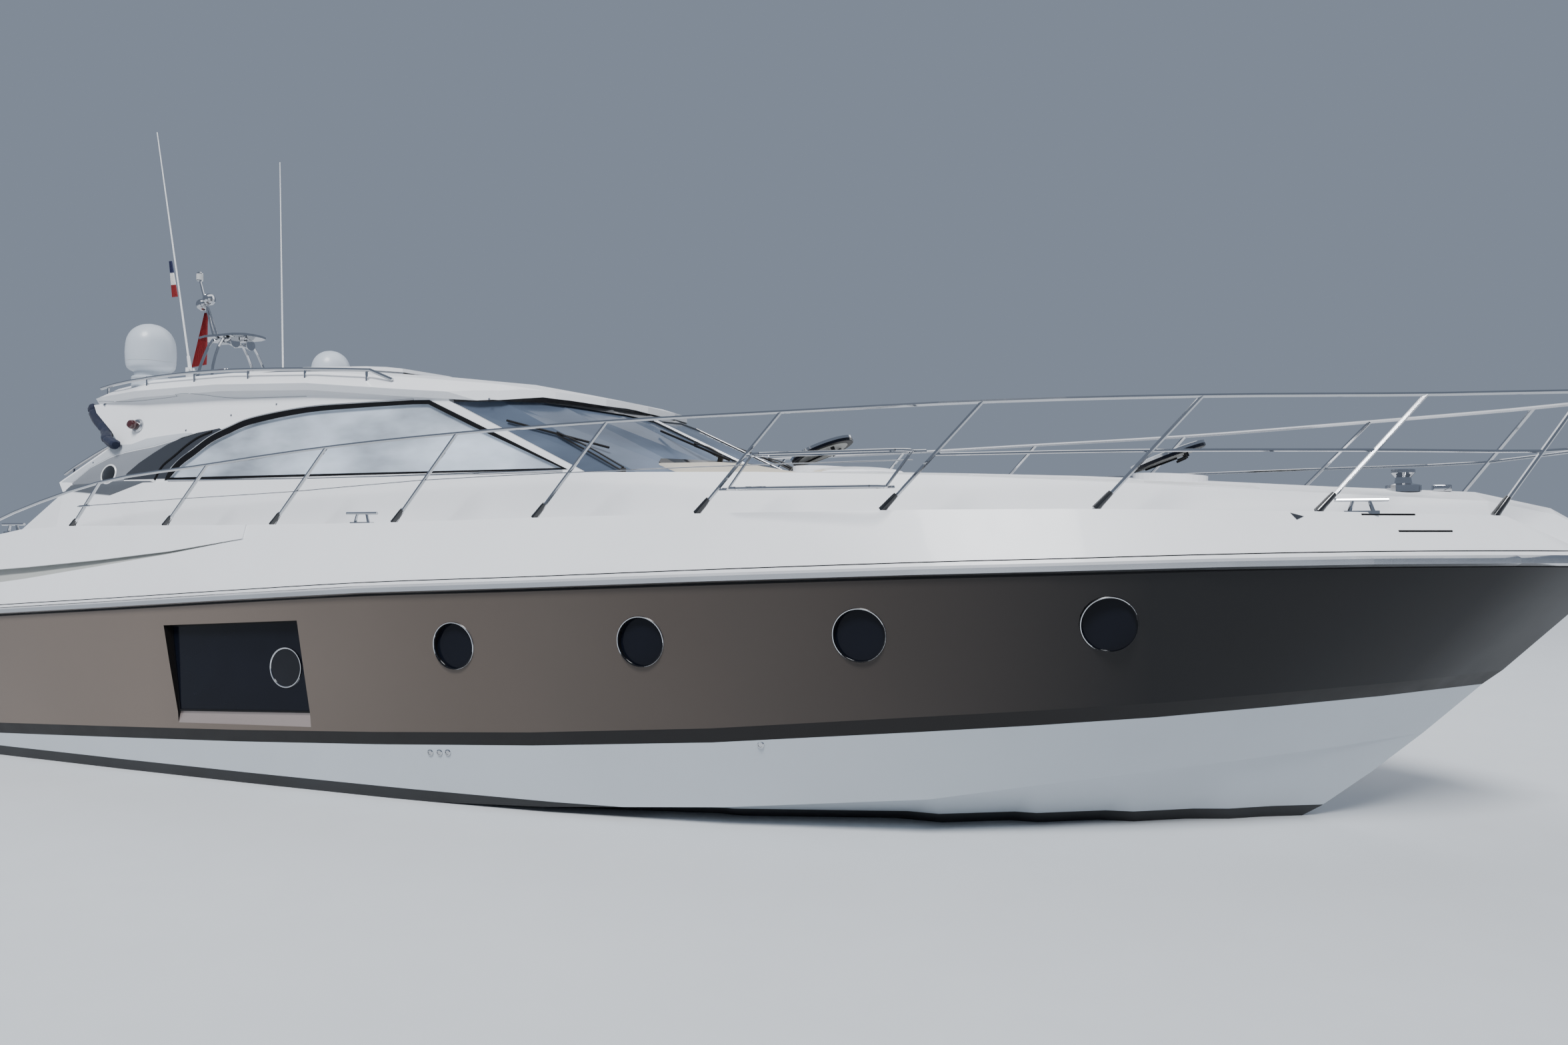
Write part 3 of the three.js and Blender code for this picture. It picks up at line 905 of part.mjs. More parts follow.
const basket = joined(
  basketLoop(2400, 3380, 2760), basketLoop(2220, 3200, 2520),
  ...[[2400 - BASKET.half, 2220 - BASKET.half], [3380 + BASKET.half, 3200 + BASKET.half]].map(([topX, footX]) => rod(
    [footX, BASKET.y, 2520], [topX, BASKET.y, 2760], BASKET.radius, 6)),
);
// Arms reach from the basket's rounded ends almost to the two posts beside it
const postAt = (z) => stanchionRows.filter((row) => row.footX > 1800 && row.footX < 3300).map((row) => {
  const foot = cappingAt(row.footX);
  return row.footX + ((z - foot.z) / (row.headZ - foot.z)) * (row.headX - row.footX);
});
const ARM_CLEAR = 32;
const arms = [[2760, 2400, 3380], [2520, 2220, 3200]].flatMap(([z, x0, x1]) => {
  const [aft, fore] = postAt(z);
  return [
    rod([aft + ARM_CLEAR, -2000, z], [x0 - 60, -2000, z], BASKET.radius, 6),
    rod([x1 + 60, -2000, z], [fore - ARM_CLEAR, -2000, z], BASKET.radius, 6),
  ];
});
addPair('fender_basket', joined(basket, ...arms), FINISH.steel);
const guardRail = joined(bentTube(railPoints, RAIL_RADIUS, 36, 6), ...posts, ...sockets, midRail)
  .subtract(clearOfDeck).subtract(box(7000, 9000, -0.4, 500, 2000, 3500));
addPair('guard_rail', biggest(guardRail), FINISH.steel);

export default group;
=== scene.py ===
"""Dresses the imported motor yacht: finishes, fittings, soft goods, light and camera."""
import logging
import math
from collections.abc import Callable, Iterable
from dataclasses import dataclass, field, replace
from enum import Enum

import bmesh
import bpy
from mathutils import Matrix, Vector
from mathutils.bvhtree import BVHTree


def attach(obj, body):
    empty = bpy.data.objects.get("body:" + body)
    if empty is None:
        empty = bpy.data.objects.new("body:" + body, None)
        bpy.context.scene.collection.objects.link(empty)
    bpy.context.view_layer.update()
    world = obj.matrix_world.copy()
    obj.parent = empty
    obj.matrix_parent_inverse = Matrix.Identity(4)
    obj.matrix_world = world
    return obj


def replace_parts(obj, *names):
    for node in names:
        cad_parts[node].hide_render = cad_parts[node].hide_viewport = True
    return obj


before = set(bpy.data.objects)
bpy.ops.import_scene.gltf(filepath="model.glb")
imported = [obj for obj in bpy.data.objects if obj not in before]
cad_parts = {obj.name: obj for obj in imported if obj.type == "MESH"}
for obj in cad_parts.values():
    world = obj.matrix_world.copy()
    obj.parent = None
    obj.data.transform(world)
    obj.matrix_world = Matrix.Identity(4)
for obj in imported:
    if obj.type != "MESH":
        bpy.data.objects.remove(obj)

logging.basicConfig(level=logging.INFO, format="%(message)s")
LOG = logging.getLogger("yacht")

Flat = tuple[float, float]
Point = tuple[float, float, float]
Line = list[Flat]
Table = tuple[tuple[float, ...], ...]
Placing = Callable[[float, float, float], Point]
Socket = bpy.types.NodeSocket
Piece = bpy.types.Object
PHOTO_WIDTH = 2352
SIDES = (("starboard", -1.0), ("port", 1.0))
UP = Vector((0.0, 0.0, 1.0))
PIECE_SHARP = math.radians(35.0)
NODE_SHARP = 28.0
SIDE_LEAN = math.radians(12.0)
SIDE_FOOT = (1.540, 2.701)


class Slot(Enum):
    """The record's material slots."""

    GELCOAT = "gelcoat"
    STEEL = "stainless"
    CLEAR_GLASS = "clear_glass"
    DARK_GLASS = "tinted_glass"
    CUSHION = "cushion"
    CANVAS = "canvas"
    WHITE_PLASTIC = "white_plastic"
    DARK_PLASTIC = "dark_plastic"


class Graph:
    """Adds linked nodes to a material's tree."""

    def __init__(self, tree: bpy.types.NodeTree, stretch: Point) -> None:
        """Takes a material's tree and adds its coordinates.

        Args:
            tree: The material's nodes.
            stretch: Stretch along X, Y and Z.
        """
        self.tree = tree
        self.shader = tree.nodes["Principled BSDF"]
        place = self.node("ShaderNodeTexCoord", {}).outputs["Object"]
        self.place = self.mapped(place, "Scale", stretch)

    def feed(self, node: bpy.types.Node, inputs: dict[str | int, Socket | float | Point]) -> None:
        """Links sockets to a node's inputs and sets values on them.

        Args:
            node: The node.
            inputs: A socket or a value for each input's name or number.
        """
        for name, value in inputs.items():
            if isinstance(value, bpy.types.NodeSocket):
                self.tree.links.new(value, node.inputs[name])
            else:
                node.inputs[name].default_value = value

    def node(self, kind: str, inputs: dict[str | int, Socket | float | Point]) -> bpy.types.Node:
        """Adds a node with its inputs linked or set.

        Args:
            kind: The node's type.
            inputs: A socket or a value for each input.

        Returns:
            The node.
        """
        made = self.tree.nodes.new(kind)
        self.feed(made, inputs)
        return made

    def mapped(self, vector: Socket, change: str, amount: Point) -> Socket:
        """Returns coordinates that are scaled or turned."""
        return self.node("ShaderNodeMapping", {"Vector": vector, change: amount}).outputs["Vector"]

    def along(self, axis: str) -> Socket:
        """Returns the coordinate along X, Y or Z."""
        return self.node("ShaderNodeSeparateXYZ", {0: self.place}).outputs[axis]

    def maths(self, operation: str, *values: Socket | float) -> Socket:
        """Adds an operation on one or two values.

        Args:
            operation: The operation's name.
            values: Its sockets and numbers.

        Returns:
            The result's socket.
        """
        made = self.tree.nodes.new("ShaderNodeMath")
        made.operation = operation
        self.feed(made, dict(enumerate(values)))
        return made.outputs[0]

    def ranged(self, value: Socket, **ends: float) -> Socket:
        """Returns a value moved from one range to another, with ends such as to_min."""
        inputs = {name.replace("_", " ").title(): end for name, end in ends.items()}
        return self.node("ShaderNodeMapRange", {"Value": value, **inputs}).outputs["Result"]

    def mix(self, share: Socket, low: Socket | tuple[float, ...], high: Socket) -> Socket:
        """Adds a colour between two by a share.

        Args:
            share: 0 for the first colour and 1 for the second.
            low: The first colour.
            high: The second colour.

        Returns:
            The colour's socket.
        """
        made = self.tree.nodes.new("ShaderNodeMix")
        made.data_type = "RGBA"
        self.feed(made, {"Factor": share, "A": low, "B": high})
        return made.outputs["Result"]

    def noise(self, scale: float, detail: float, vector: Socket | None = None) -> Socket:
        """Adds a noise value from 0 to 1.

        Args:
            scale: Spots for each metre.
            detail: Finer layers of spots.
            vector: Coordinates, where they aren't the graph's own.

        Returns:
            The value's socket.
        """
        place = self.place if vector is None else vector
        inputs = {"Vector": place, "Scale": scale, "Detail": detail}
        return self.node("ShaderNodeTexNoise", inputs).outputs["Fac"]

    def wave(self, scale: float, axis: str, vector: Socket) -> Socket:
        """Adds a wave across an axis.

        Args:
            scale: How close the waves lie.
            axis: X or Z.
            vector: Coordinates.

        Returns:
            The value's socket.
        """
        made = self.node("ShaderNodeTexWave", {"Vector": vector, "Scale": scale})
        made.bands_direction = axis
        return made.outputs["Fac"]

    def mottled(self, colour: Point, amount: float, scale: float, vector: Socket | None = None) -> Socket:
        """Adds a colour that wanders a little around its mean.

        Args:
            colour: The mean.
            amount: Share of it by which the colour wanders.
            scale: Spots for each metre.
            vector: Coordinates, where they aren't the graph's own.

        Returns:
            The colour's socket.
        """
        ramp = self.node("ShaderNodeValToRGB", {"Fac": self.noise(scale, 4.0, vector)})
        for stop, sign, position in zip(ramp.color_ramp.elements, (-1.0, 1.0), (0.3, 0.7)):
            stop.color = (*(max(0.0, c * (1.0 + sign * amount)) for c in colour), 1.0)
            stop.position = position
        return ramp.outputs["Color"]

    def emboss(self, height: Socket, strength: float, depth: float) -> None:
        """Turns a height into bump."""
        bump = self.node("ShaderNodeBump", {"Height": height, "Strength": strength, "Distance": depth})
        self.feed(self.shader, {"Normal": bump.outputs["Normal"]})


@dataclass(frozen=True)
class Finish:
    """A surface finish; build makes its node material.

    Attributes:
        name: The material's name.
        colour: Linear base colour.
        roughness: Mean roughness.
        metallic: Share of metal.
        coat: Weight of the clear coat.
        mottle: How far the colour wanders from its mean.
        mottle_scale: Spots for each metre of that wander.
        grain: Bump strength.
        grain_scale: Bumps for each metre.
        grain_depth: Height of the bumps in metres.
        stretch: Stretch of the grain along X, Y and Z.
        shine: How strongly the bare surface mirrors, 0.5 for plain lacquer.
        slot: Slot of the pieces that have the finish.
    """

    name: str
    colour: Point
    roughness: float = 0.3
    metallic: float = 0.0
    coat: float = 0.0
    mottle: float = 0.04
    mottle_scale: float = 1.5
    grain: float = 0.1
    grain_scale: float = 60.0
    grain_depth: float = 0.001
    stretch: Point = (1.0, 1.0, 1.0)
    shine: float = 0.5
    slot: Slot = Slot.WHITE_PLASTIC

    def build(self) -> bpy.types.Material:
        """Makes the material, once.

        Returns:
            The material.
        """
        made = bpy.data.materials.get(self.name)
        if made:
            return made
        material = bpy.data.materials.new(self.name)
        material.use_nodes = True
        graph = Graph(material.node_tree, self.stretch)
        graph.feed(graph.shader, {"Metallic": self.metallic, "Coat Weight": self.coat, "Coat Roughness": 0.05,
                                  "Specular IOR Level": self.shine})
        self.dress(graph)
        return material

    def dress(self, graph: Graph) -> None:
        """Links colour, roughness and bump to the shader.

        Args:
            graph: The material's graph.
        """
        graph.feed(graph.shader, {"Base Color": self.tone(graph)})
        self.roughen(graph)
        self.pit(graph)

    def tone(self, graph: Graph) -> Socket:
        """Returns the wandering base colour."""
        return graph.mottled(self.colour, self.mottle, self.mottle_scale)

    def roughen(self, graph: Graph) -> None:
        """Lets the roughness wander around its mean.

        Args:
            graph: The material's graph.
        """
        spots = graph.noise(self.mottle_scale * 4.0, 3.0)
        rough = graph.ranged(spots, to_min=self.roughness * 0.8, to_max=self.roughness * 1.2)
        graph.feed(graph.shader, {"Roughness": rough})

    def pit(self, graph: Graph) -> None:
        """Gives the surface its fine grain."""
        graph.emboss(graph.noise(self.grain_scale, 6.0), self.grain, self.grain_depth)


@dataclass(frozen=True)
class BottomPaint(Finish):
    """White hull band over dark antifouling, parted by a level line."""

    line: float = 0.1
    below: Point = (0.012, 0.013, 0.015)
    below_roughness: float = 0.75

    def dress(self, graph: Graph) -> None:
        """Links the two paints, one above and one below the line.

        Args:
            graph: The material's graph.
        """
        above = graph.maths("GREATER_THAN", graph.along("Z"), self.line)
        below = graph.mottled(self.below, 0.3, self.mottle_scale)
        rough = graph.ranged(above, to_min=self.below_roughness, to_max=self.roughness)
        graph.feed(graph.shader, {"Base Color": graph.mix(above, below, self.tone(graph)),
                                  "Roughness": rough})
        self.pit(graph)


@dataclass(frozen=True)
class PlankFinish(Finish):
    """Laid planks along X with dark seams."""

    plank: float = 0.055
    seam: float = 0.1
    seam_colour: tuple[float, ...] = (0.01, 0.01, 0.01, 1.0)

    def dress(self, graph: Graph) -> None:
        """Links plank colour, seams and grain.

        Args:
            graph: The material's graph.
        """
        cell = graph.maths("FRACT", graph.maths("DIVIDE", graph.along("Y"), self.plank))
        wood = graph.maths("GREATER_THAN", cell, self.seam)
        grain = graph.mapped(graph.place, "Scale", (1.5, 40.0, 40.0))
        tone = graph.mottled(self.colour, 0.28, self.mottle_scale, grain)
        graph.feed(graph.shader, {"Base Color": graph.mix(wood, self.seam_colour, tone)})
        self.roughen(graph)
        graph.emboss(wood, 0.4, 0.0008)


@dataclass(frozen=True)
class WovenFinish(Finish):
    """Plain woven cloth, with its waves for each metre."""

    threads: float = 45.0

    def dress(self, graph: Graph) -> None:
        """Links colour, weave bump and sheen.

        Args:
            graph: The material's graph.
        """
        graph.feed(graph.shader, {"Base Color": self.tone(graph), "Sheen Weight": 0.08})
        self.roughen(graph)
        waves = [graph.wave(self.threads, axis, graph.place) for axis in ("X", "Z")]
        graph.emboss(graph.maths("ADD", *waves), 0.35, 0.0008)


@dataclass(frozen=True)
class HullPaintWithBowShade(Finish):
    """Metallic hull lacquer, faded towards the bow into painted shade that stands for its darker reflections
    there.
    """

    # Painted shade: the near-black tone that the lacquer fades to at the bow.
    bow: Point = (0.010, 0.010, 0.011)
    from_x: float = -3.5
    to_x: float = 5.0

    def dress(self, graph: Graph) -> None:
        """Links the lacquer's tone, faded into painted bow shade, roughness and flake.

        Args:
            graph: The material's graph.
        """
        # Painted shade: share of the fade from the lacquer's tone at from_x to the bow's tone at to_x.
        share = graph.ranged(graph.along("X"), from_min=self.from_x, from_max=self.to_x)
        bow = graph.mottled(self.bow, self.mottle, self.mottle_scale)
        graph.feed(graph.shader, {"Base Color": graph.mix(share, self.tone(graph), bow)})
        self.roughen(graph)
        self.pit(graph)


@dataclass(frozen=True)
class TreadFinish(Finish):
    """Moulded anti-slip deck with a fine pattern of raised diamonds."""

    pitch: float = 0.012

    def dress(self, graph: Graph) -> None:
        """Links colour, roughness and the diamonds' bump.

        Args:
            graph: The material's graph.
        """
        graph.feed(graph.shader, {"Base Color": self.tone(graph)})
        self.roughen(graph)
        turns = [graph.mapped(graph.place, "Rotation", (0.0, 0.0,
                                                        math.radians(turn))) for turn in (45.0, -45.0)]
        waves = [graph.wave(0.314 / self.pitch, "X", turn) for turn in turns]
        graph.emboss(graph.maths("MULTIPLY", *waves), self.grain, self.grain_depth)


WHITE = Finish("white_gelcoat", (0.86, 0.87, 0.89), roughness=0.36, coat=0.1, mottle=0.015, grain=0.03,
               slot=Slot.GELCOAT)
# Painted shade: grey gelcoat for the recess under the raised panel along the gunwale.
PAINTED_SHADE_WHITE = Finish("painted_shade_gelcoat", (0.40, 0.41, 0.39), roughness=0.36, mottle=0.03, grain=0.03)
# Painted shade darkens this lacquer towards the bow.
HULL = HullPaintWithBowShade("bronze_lacquer", (0.170, 0.138, 0.116), roughness=0.34, metallic=0.3, shine=0.3,
                 mottle=0.05, mottle_scale=0.6, grain=0.04, grain_scale=900.0, grain_depth=0.0003)
# Painted light: a lighter copy of the hull lacquer for the upward faces of the recessed window's sill.
PAINTED_LIGHT_SILL = Finish("painted_light_bronze_sill", (0.30, 0.25, 0.235), roughness=0.34, metallic=0.3, mottle=0.04, grain=0.04)
# Painted shade: near-black hull lacquer for the downward faces of the knuckle's chamfer, which reflect dark
# water, and for the shaded aft jamb of the window recess.
PAINTED_SHADE_HULL = Finish("painted_shade_hull", (0.010, 0.009, 0.009), roughness=0.45, mottle=0.05, grain=0.04, shine=0.25)
# Painted shade: the white band above the antifouling is darkened to a blue-grey, as it lies in shade above
# the water.
BOTTOM = BottomPaint("white_and_antifouling", (0.48, 0.52, 0.56), roughness=0.22, coat=0.2, mottle=0.02,
                     grain=0.04)
STEEL = Finish("polished_stainless", (0.53, 0.54, 0.56), roughness=0.08, metallic=1.0, mottle=0.05,
               mottle_scale=8.0, grain=0.05, grain_scale=300.0, grain_depth=0.0004, stretch=(0.2, 1.0, 1.0),
               slot=Slot.STEEL)
SATIN = Finish("satin_steel", (0.50, 0.51, 0.53), roughness=0.3, metallic=1.0, mottle=0.06, mottle_scale=12.0,
               grain=0.15, grain_scale=300.0, grain_depth=0.0003, stretch=(0.1, 1.0, 1.0), slot=Slot.STEEL)
# Painted reflection: the pale blue base and its large stretched mottle paint in the clouds that the cabin's
# side glass reflects.
PAINTED_SKY_GLASS = Finish("painted_sky_reflection_glass", (0.56, 0.63, 0.72), roughness=0.10, metallic=0.15, coat=0.3,
                    mottle=0.58, mottle_scale=1.3, grain=0.0, stretch=(0.6, 1.0, 1.6))
# Painted reflection: the large stretched mottle over the dark base stands for sky reflected in the
# windscreen.
SCREEN_GLASS = Finish("screen_glass", (0.085, 0.11, 0.155), roughness=0.18, metallic=0.1, mottle=0.45,
                      shine=0.4, mottle_scale=1.1, grain=0.0, stretch=(0.5, 1.0, 1.8))
DARK_GLASS = Finish("dark_glass", (0.004, 0.005, 0.009), roughness=0.12, mottle=0.2, grain=0.0, shine=0.12,
                    slot=Slot.DARK_GLASS)
SMOKED_GLASS = Finish("smoked_glass", (0.008, 0.009, 0.012), roughness=0.12, mottle=0.2, grain=0.0,
                      shine=0.15, slot=Slot.DARK_GLASS)
TEAK = PlankFinish("laid_teak", (0.36, 0.21, 0.11), roughness=0.55)
VINYL = Finish("padded_vinyl", (0.60, 0.57, 0.51), roughness=0.5, mottle=0.04, mottle_scale=5.0, grain=0.35,
               grain_scale=420.0, grain_depth=0.0012, slot=Slot.CUSHION)
PIPING = Finish("seat_piping", (0.40, 0.37, 0.32), roughness=0.5, mottle=0.05, grain=0.2, grain_scale=300.0,
                slot=Slot.CUSHION)
NAVY = WovenFinish("navy_canvas", (0.008, 0.013, 0.034), roughness=0.9, mottle=0.2, mottle_scale=6.0,
                   slot=Slot.CANVAS)
RED_CLOTH = WovenFinish("red_bunting", (0.24, 0.010, 0.014), roughness=0.8, mottle=0.15, mottle_scale=7.0,
                        slot=Slot.CANVAS)
BLUE_CLOTH = WovenFinish("blue_bunting", (0.010, 0.016, 0.070), roughness=0.8, mottle=0.15, mottle_scale=7.0,
                         slot=Slot.CANVAS)
WHITE_CLOTH = WovenFinish("white_bunting", (0.72, 0.72, 0.70), roughness=0.8, mottle=0.06, mottle_scale=7.0,
                          slot=Slot.CANVAS)
PLASTIC = Finish("white_moulding", (0.78, 0.79, 0.80), roughness=0.3, coat=0.2, mottle=0.02, grain=0.05)
# Painted shade: the white domes' moulding is darkened to a blue-grey.
DOME_WHITE = Finish("dome_moulding", (0.52, 0.57, 0.63), roughness=0.35, coat=0.1, mottle=0.03, grain=0.03)
BLACK = Finish("grained_black", (0.006, 0.006, 0.007), roughness=0.4, grain=0.3, grain_scale=400.0, shine=0.3,
               slot=Slot.DARK_PLASTIC)
RUBBER = Finish("black_rubber", (0.003, 0.003, 0.004), roughness=0.5, grain=0.2, grain_scale=200.0, shine=0.2,
                slot=Slot.DARK_PLASTIC)
GLOSS_BLACK = Finish("gloss_black", (0.012, 0.013, 0.015), roughness=0.15, coat=0.6, mottle=0.1, grain=0.02,
                     slot=Slot.DARK_PLASTIC)
BRONZE = Finish("cast_bronze", (0.42, 0.27, 0.12), roughness=0.32, metallic=1.0, mottle=0.2, mottle_scale=9.0,
                grain=0.15, grain_scale=120.0)
IRON = Finish("painted_iron", (0.16, 0.17, 0.18), roughness=0.5, metallic=0.2, mottle=0.1, grain=0.3)
CREAM = Finish("cream_moulding", (0.62, 0.57, 0.48), roughness=0.35, mottle=0.03, grain=0.05)
LIGHT_GREY = Finish("light_grey_moulding", (0.50, 0.53, 0.57), roughness=0.35, mottle=0.03, grain=0.06)
LINING = Finish("hatch_lining", (0.30, 0.30, 0.28), roughness=0.55, mottle=0.04, grain=0.08)
MID_GREY = Finish("mid_grey_moulding", (0.22, 0.235, 0.26), roughness=0.35, mottle=0.04, grain=0.08)
GREY = Finish("grey_moulding", (0.09, 0.10, 0.115), roughness=0.35, mottle=0.04, grain=0.08)
DARK_GREY = Finish("dark_grey_moulding", (0.032, 0.036, 0.045), roughness=0.3, mottle=0.05, grain=0.08)
TREAD = TreadFinish("anti_slip_deck", (0.66, 0.67, 0.68), roughness=0.55, mottle=0.03, grain=0.5,
                    grain_depth=0.0015)
RED_LENS = Finish("dark_red_lens", (0.05, 0.007, 0.008), roughness=0.08, coat=1.0, mottle=0.1,
                  slot=Slot.DARK_GLASS)
CLEAR_LENS = Finish("frosted_lens", (0.55, 0.56, 0.56), roughness=0.2, coat=1.0, mottle=0.05,
                    slot=Slot.CLEAR_GLASS)
SCREEN = Finish("instrument_screen", (0.008, 0.012, 0.022), roughness=0.12, coat=1.0, mottle=0.3,
                slot=Slot.DARK_GLASS)
FLOOR = Finish("pale_floor", (0.66, 0.69, 0.72), roughness=0.6, mottle=0.01, grain=0.0)

NODE_FINISHES: dict[str, Finish] = {
    "hull_bottom": BOTTOM, "hull_topsides": HULL, "deck_moulding": WHITE, "cockpit_sole": TEAK,
    "strake": STEEL, "hull_window": DARK_GLASS, "bathing_platform": WHITE, "boarding_ladder": STEEL,
    "garage_lid": HULL, "stern_gate": WHITE, "engine": IRON, "propeller": BRONZE, "rudder": BRONZE,
    "trim_tab": STEEL, "hardtop": WHITE, "roof_panel": WHITE, "cabin_side": WHITE, "side_glass": PAINTED_SKY_GLASS,
    "windscreen_frame": GLOSS_BLACK, "windscreen_glass": SCREEN_GLASS, "roof_rail": STEEL, "mast": STEEL,
    "dome": PLASTIC, "aerial": PLASTIC, "cleat": STEEL, "windlass": STEEL, "hatch_lid": DARK_GLASS,
    "helm_console": WHITE, "steering_wheel": BLACK, "helm_seat": VINYL, "settee": VINYL, "table": TEAK,
    "galley": WHITE, "sunpad": VINYL, "canvas_roll": NAVY, "flag": RED_CLOTH, "guard_rail": STEEL,
    "fender_basket": STEEL,
}


@dataclass(frozen=True)
class Patch:
    """A part of a node that has a finish of its own.

    Attributes:
        node: The node's name, or the start of it.
        finish: Finish of the part.
        low: Lower corner of the box that the part's faces lie in.
        high: Its upper corner.
        facing: Least share of the faces' direction that points along it, where it is given.
        towards: That direction.
    """

    node: str
    finish: Finish
    low: Point
    high: Point
    facing: float = -2.0
    towards: Point = (0.0, 0.0, 1.0)

    def holds(self, face: bpy.types.MeshPolygon) -> bool:
        """Tells whether a face belongs to the part."""
        inside = all(a <= c <= b for a, c, b in zip(self.low, face.center, self.high))
        return inside and face.normal.dot(Vector(self.towards)) >= self.facing

    def both(self) -> tuple["Patch", "Patch"]:
        """Returns the part and the same part to port."""
        (x0, y0, z0), (x1, y1, z1) = self.low, self.high
        return self, replace(self, low=(x0, -y1, z0), high=(x1, -y0, z1))


SMOOTH_BELOW: dict[str, float] = {
    **dict.fromkeys(("guard_rail", "fender_basket", "roof_rail", "mast", "boarding_ladder", "aerial"), 75.0),
    "windscreen_glass": 60.0, "windscreen_frame": 40.0, "cleat": 50.0, "steering_wheel": 60.0,
    "deck_moulding": 24.0}

PATCHES = (
    # Painted shade on the downward faces of the knuckle's chamfer.
    Patch("hull_topsides", PAINTED_SHADE_HULL, (-7.1, -2.3, 0.1), (8.3, 2.3, 1.25), 0.345, (0.0, 0.0, -1.0)),
    # Painted light on the upward faces of the recessed window's sill.
    *Patch("hull_topsides", PAINTED_LIGHT_SILL, (-3.3, -2.3, 0.48), (-1.6, -2.0, 0.70), 0.1).both(),
    # Painted shade on the aft jamb of the recessed window.
    *Patch("hull_topsides", PAINTED_SHADE_HULL, (-3.35, -2.3, 0.55), (-3.0, -2.05, 1.5), 0.7, (1.0, 0.0, 0.0)).both(),
    *Patch("deck_moulding", CREAM, (1.14, -1.25, 2.66), (2.34, -0.41, 2.86)).both(),
    # Painted shade in the recess under the raised panel along the gunwale.
    *Patch("deck_moulding", PAINTED_SHADE_WHITE, (-7.05, -2.3, 1.5), (-5.0, -1.8, 1.90), 0.36).both(),
    *Patch("deck_moulding", PAINTED_SHADE_WHITE, (-5.0, -2.3, 1.5), (-2.4, -1.8, 2.14), 0.36).both(),
    Patch("bathing_platform", TEAK, (-8.3, -2.0, 0.51), (-7.0, 2.0, 0.53), 0.9),
    Patch("hardtop", LIGHT_GREY, (-5.5, -1.3, 3.2), (0.8, 1.3, 4.1), 0.75, (0.0, 0.0, -1.0)),
)


def paint_nodes() -> None:
    """Gives every node of the frame its finish, and the patches theirs."""
    for name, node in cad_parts.items():
        key = max((key for key in NODE_FINISHES if name.startswith(key)), key=len)
        patches = [patch for patch in PATCHES if name.startswith(patch.node)]
        node.data.materials.clear()
        for finish in (NODE_FINISHES[key], *(patch.finish for patch in patches)):
            node.data.materials.append(finish.build())
        for face in node.data.polygons:
            found = [number for number, patch in enumerate(patches, start=1) if patch.holds(face)]
            face.material_index = found[0] if found else 0
        own_normals = node.data.attributes.get("custom_normal")
        if own_normals:
            node.data.attributes.remove(own_normals)
        node.data.shade_smooth()
        node.data.set_sharp_from_angle(angle=math.radians(SMOOTH_BELOW.get(key, NODE_SHARP)))
    LOG.info("%d nodes painted", len(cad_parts))


def piece_of(name: str, shape: bmesh.types.BMesh, finish: Finish) -> Piece:
    """Makes an object of a bmesh, which it uses up.

    Args:
        name: The piece's name.
        shape: Its mesh, used up here.
        finish: Its finish.

    Returns:
        The object.
    """
    bmesh.ops.recalc_face_normals(shape, faces=shape.faces)
    mesh = bpy.data.meshes.new(name)
    shape.to_mesh(mesh)
    shape.free()
    piece = bpy.data.objects.new(name, mesh)
    bpy.context.scene.collection.objects.link(piece)
    mesh.materials.append(finish.build())
    mesh.shade_smooth()
    mesh.set_sharp_from_angle(angle=PIECE_SHARP)
    return piece


def fit(piece: Piece, slot: Slot, body: str = "hull") -> Piece:
    """Lets a piece ride on a body.

    Args:
        piece: The piece.
        slot: Its slot; not used.
        body: Body that it rides on.

    Returns:
        The same piece.
    """
    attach(piece, body)
    return piece


def fitted(name: str, shape: bmesh.types.BMesh, finish: Finish, slot: Slot | None = None,
           body: str = "hull") -> Piece:
    """Makes a fitted piece of a bmesh.

    Args:
        name: The piece's name.
        shape: Its mesh, used up here.
        finish: Its finish.
        slot: Its slot, where it isn't the finish's own.
        body: Body that it rides on.

    Returns:
        The object.
    """
    return fit(piece_of(name, shape, finish), slot or finish.slot, body)


def raise_faces(shape: bmesh.types.BMesh, faces: Iterable[bmesh.types.BMFace], way: Vector) -> list:
    """Extrudes faces and moves the new ones.

    Args:
        shape: The mesh.
        faces: Its faces to extrude.
        way: How far they move.

    Returns:
        The new corners, edges and faces.
    """
    lifted = bmesh.ops.extrude_face_region(shape, geom=faces)["geom"]
    corners = [part for part in lifted if isinstance(part, bmesh.types.BMVert)]
    bmesh.ops.translate(shape, vec=way, verts=corners)
    return lifted


def turned(name: str, profile: Line, centre: Point, axis: Point, finish: Finish, steps: int = 40,
           **fitting: Slot | str) -> Piece:
    """Turns a profile of (radius, height) about an axis through a centre.

    Args:
        name: The piece's name.
        profile: Its closed outline of radius and height.
        centre: Place of the outline's origin.
        axis: Direction of its heights.
        finish: Its finish.
        steps: Steps around the axis.
        fitting: Its slot and body, where they aren't the usual ones.

    Returns:
        The object.
    """
    shape = bmesh.new()
    corners = [shape.verts.new((radius, 0.0, height)) for radius, height in profile]
    edges = [shape.edges.new(pair) for pair in zip(corners, corners[1:] + corners[:1])]
    bmesh.ops.spin(shape, geom=corners + edges, cent=(0, 0, 0), axis=(0, 0, 1), angle=2.0 * math.pi,
                   steps=steps, use_merge=True)
    bmesh.ops.remove_doubles(shape, verts=shape.verts, dist=1e-6)
    bmesh.ops.dissolve_degenerate(shape, edges=shape.edges, dist=1e-7)
    turn = UP.rotation_difference(Vector(axis)).to_matrix().to_4x4()
    bmesh.ops.transform(shape, matrix=Matrix.Translation(centre) @ turn, verts=shape.verts)
    return fitted(name, shape, finish, **fitting)


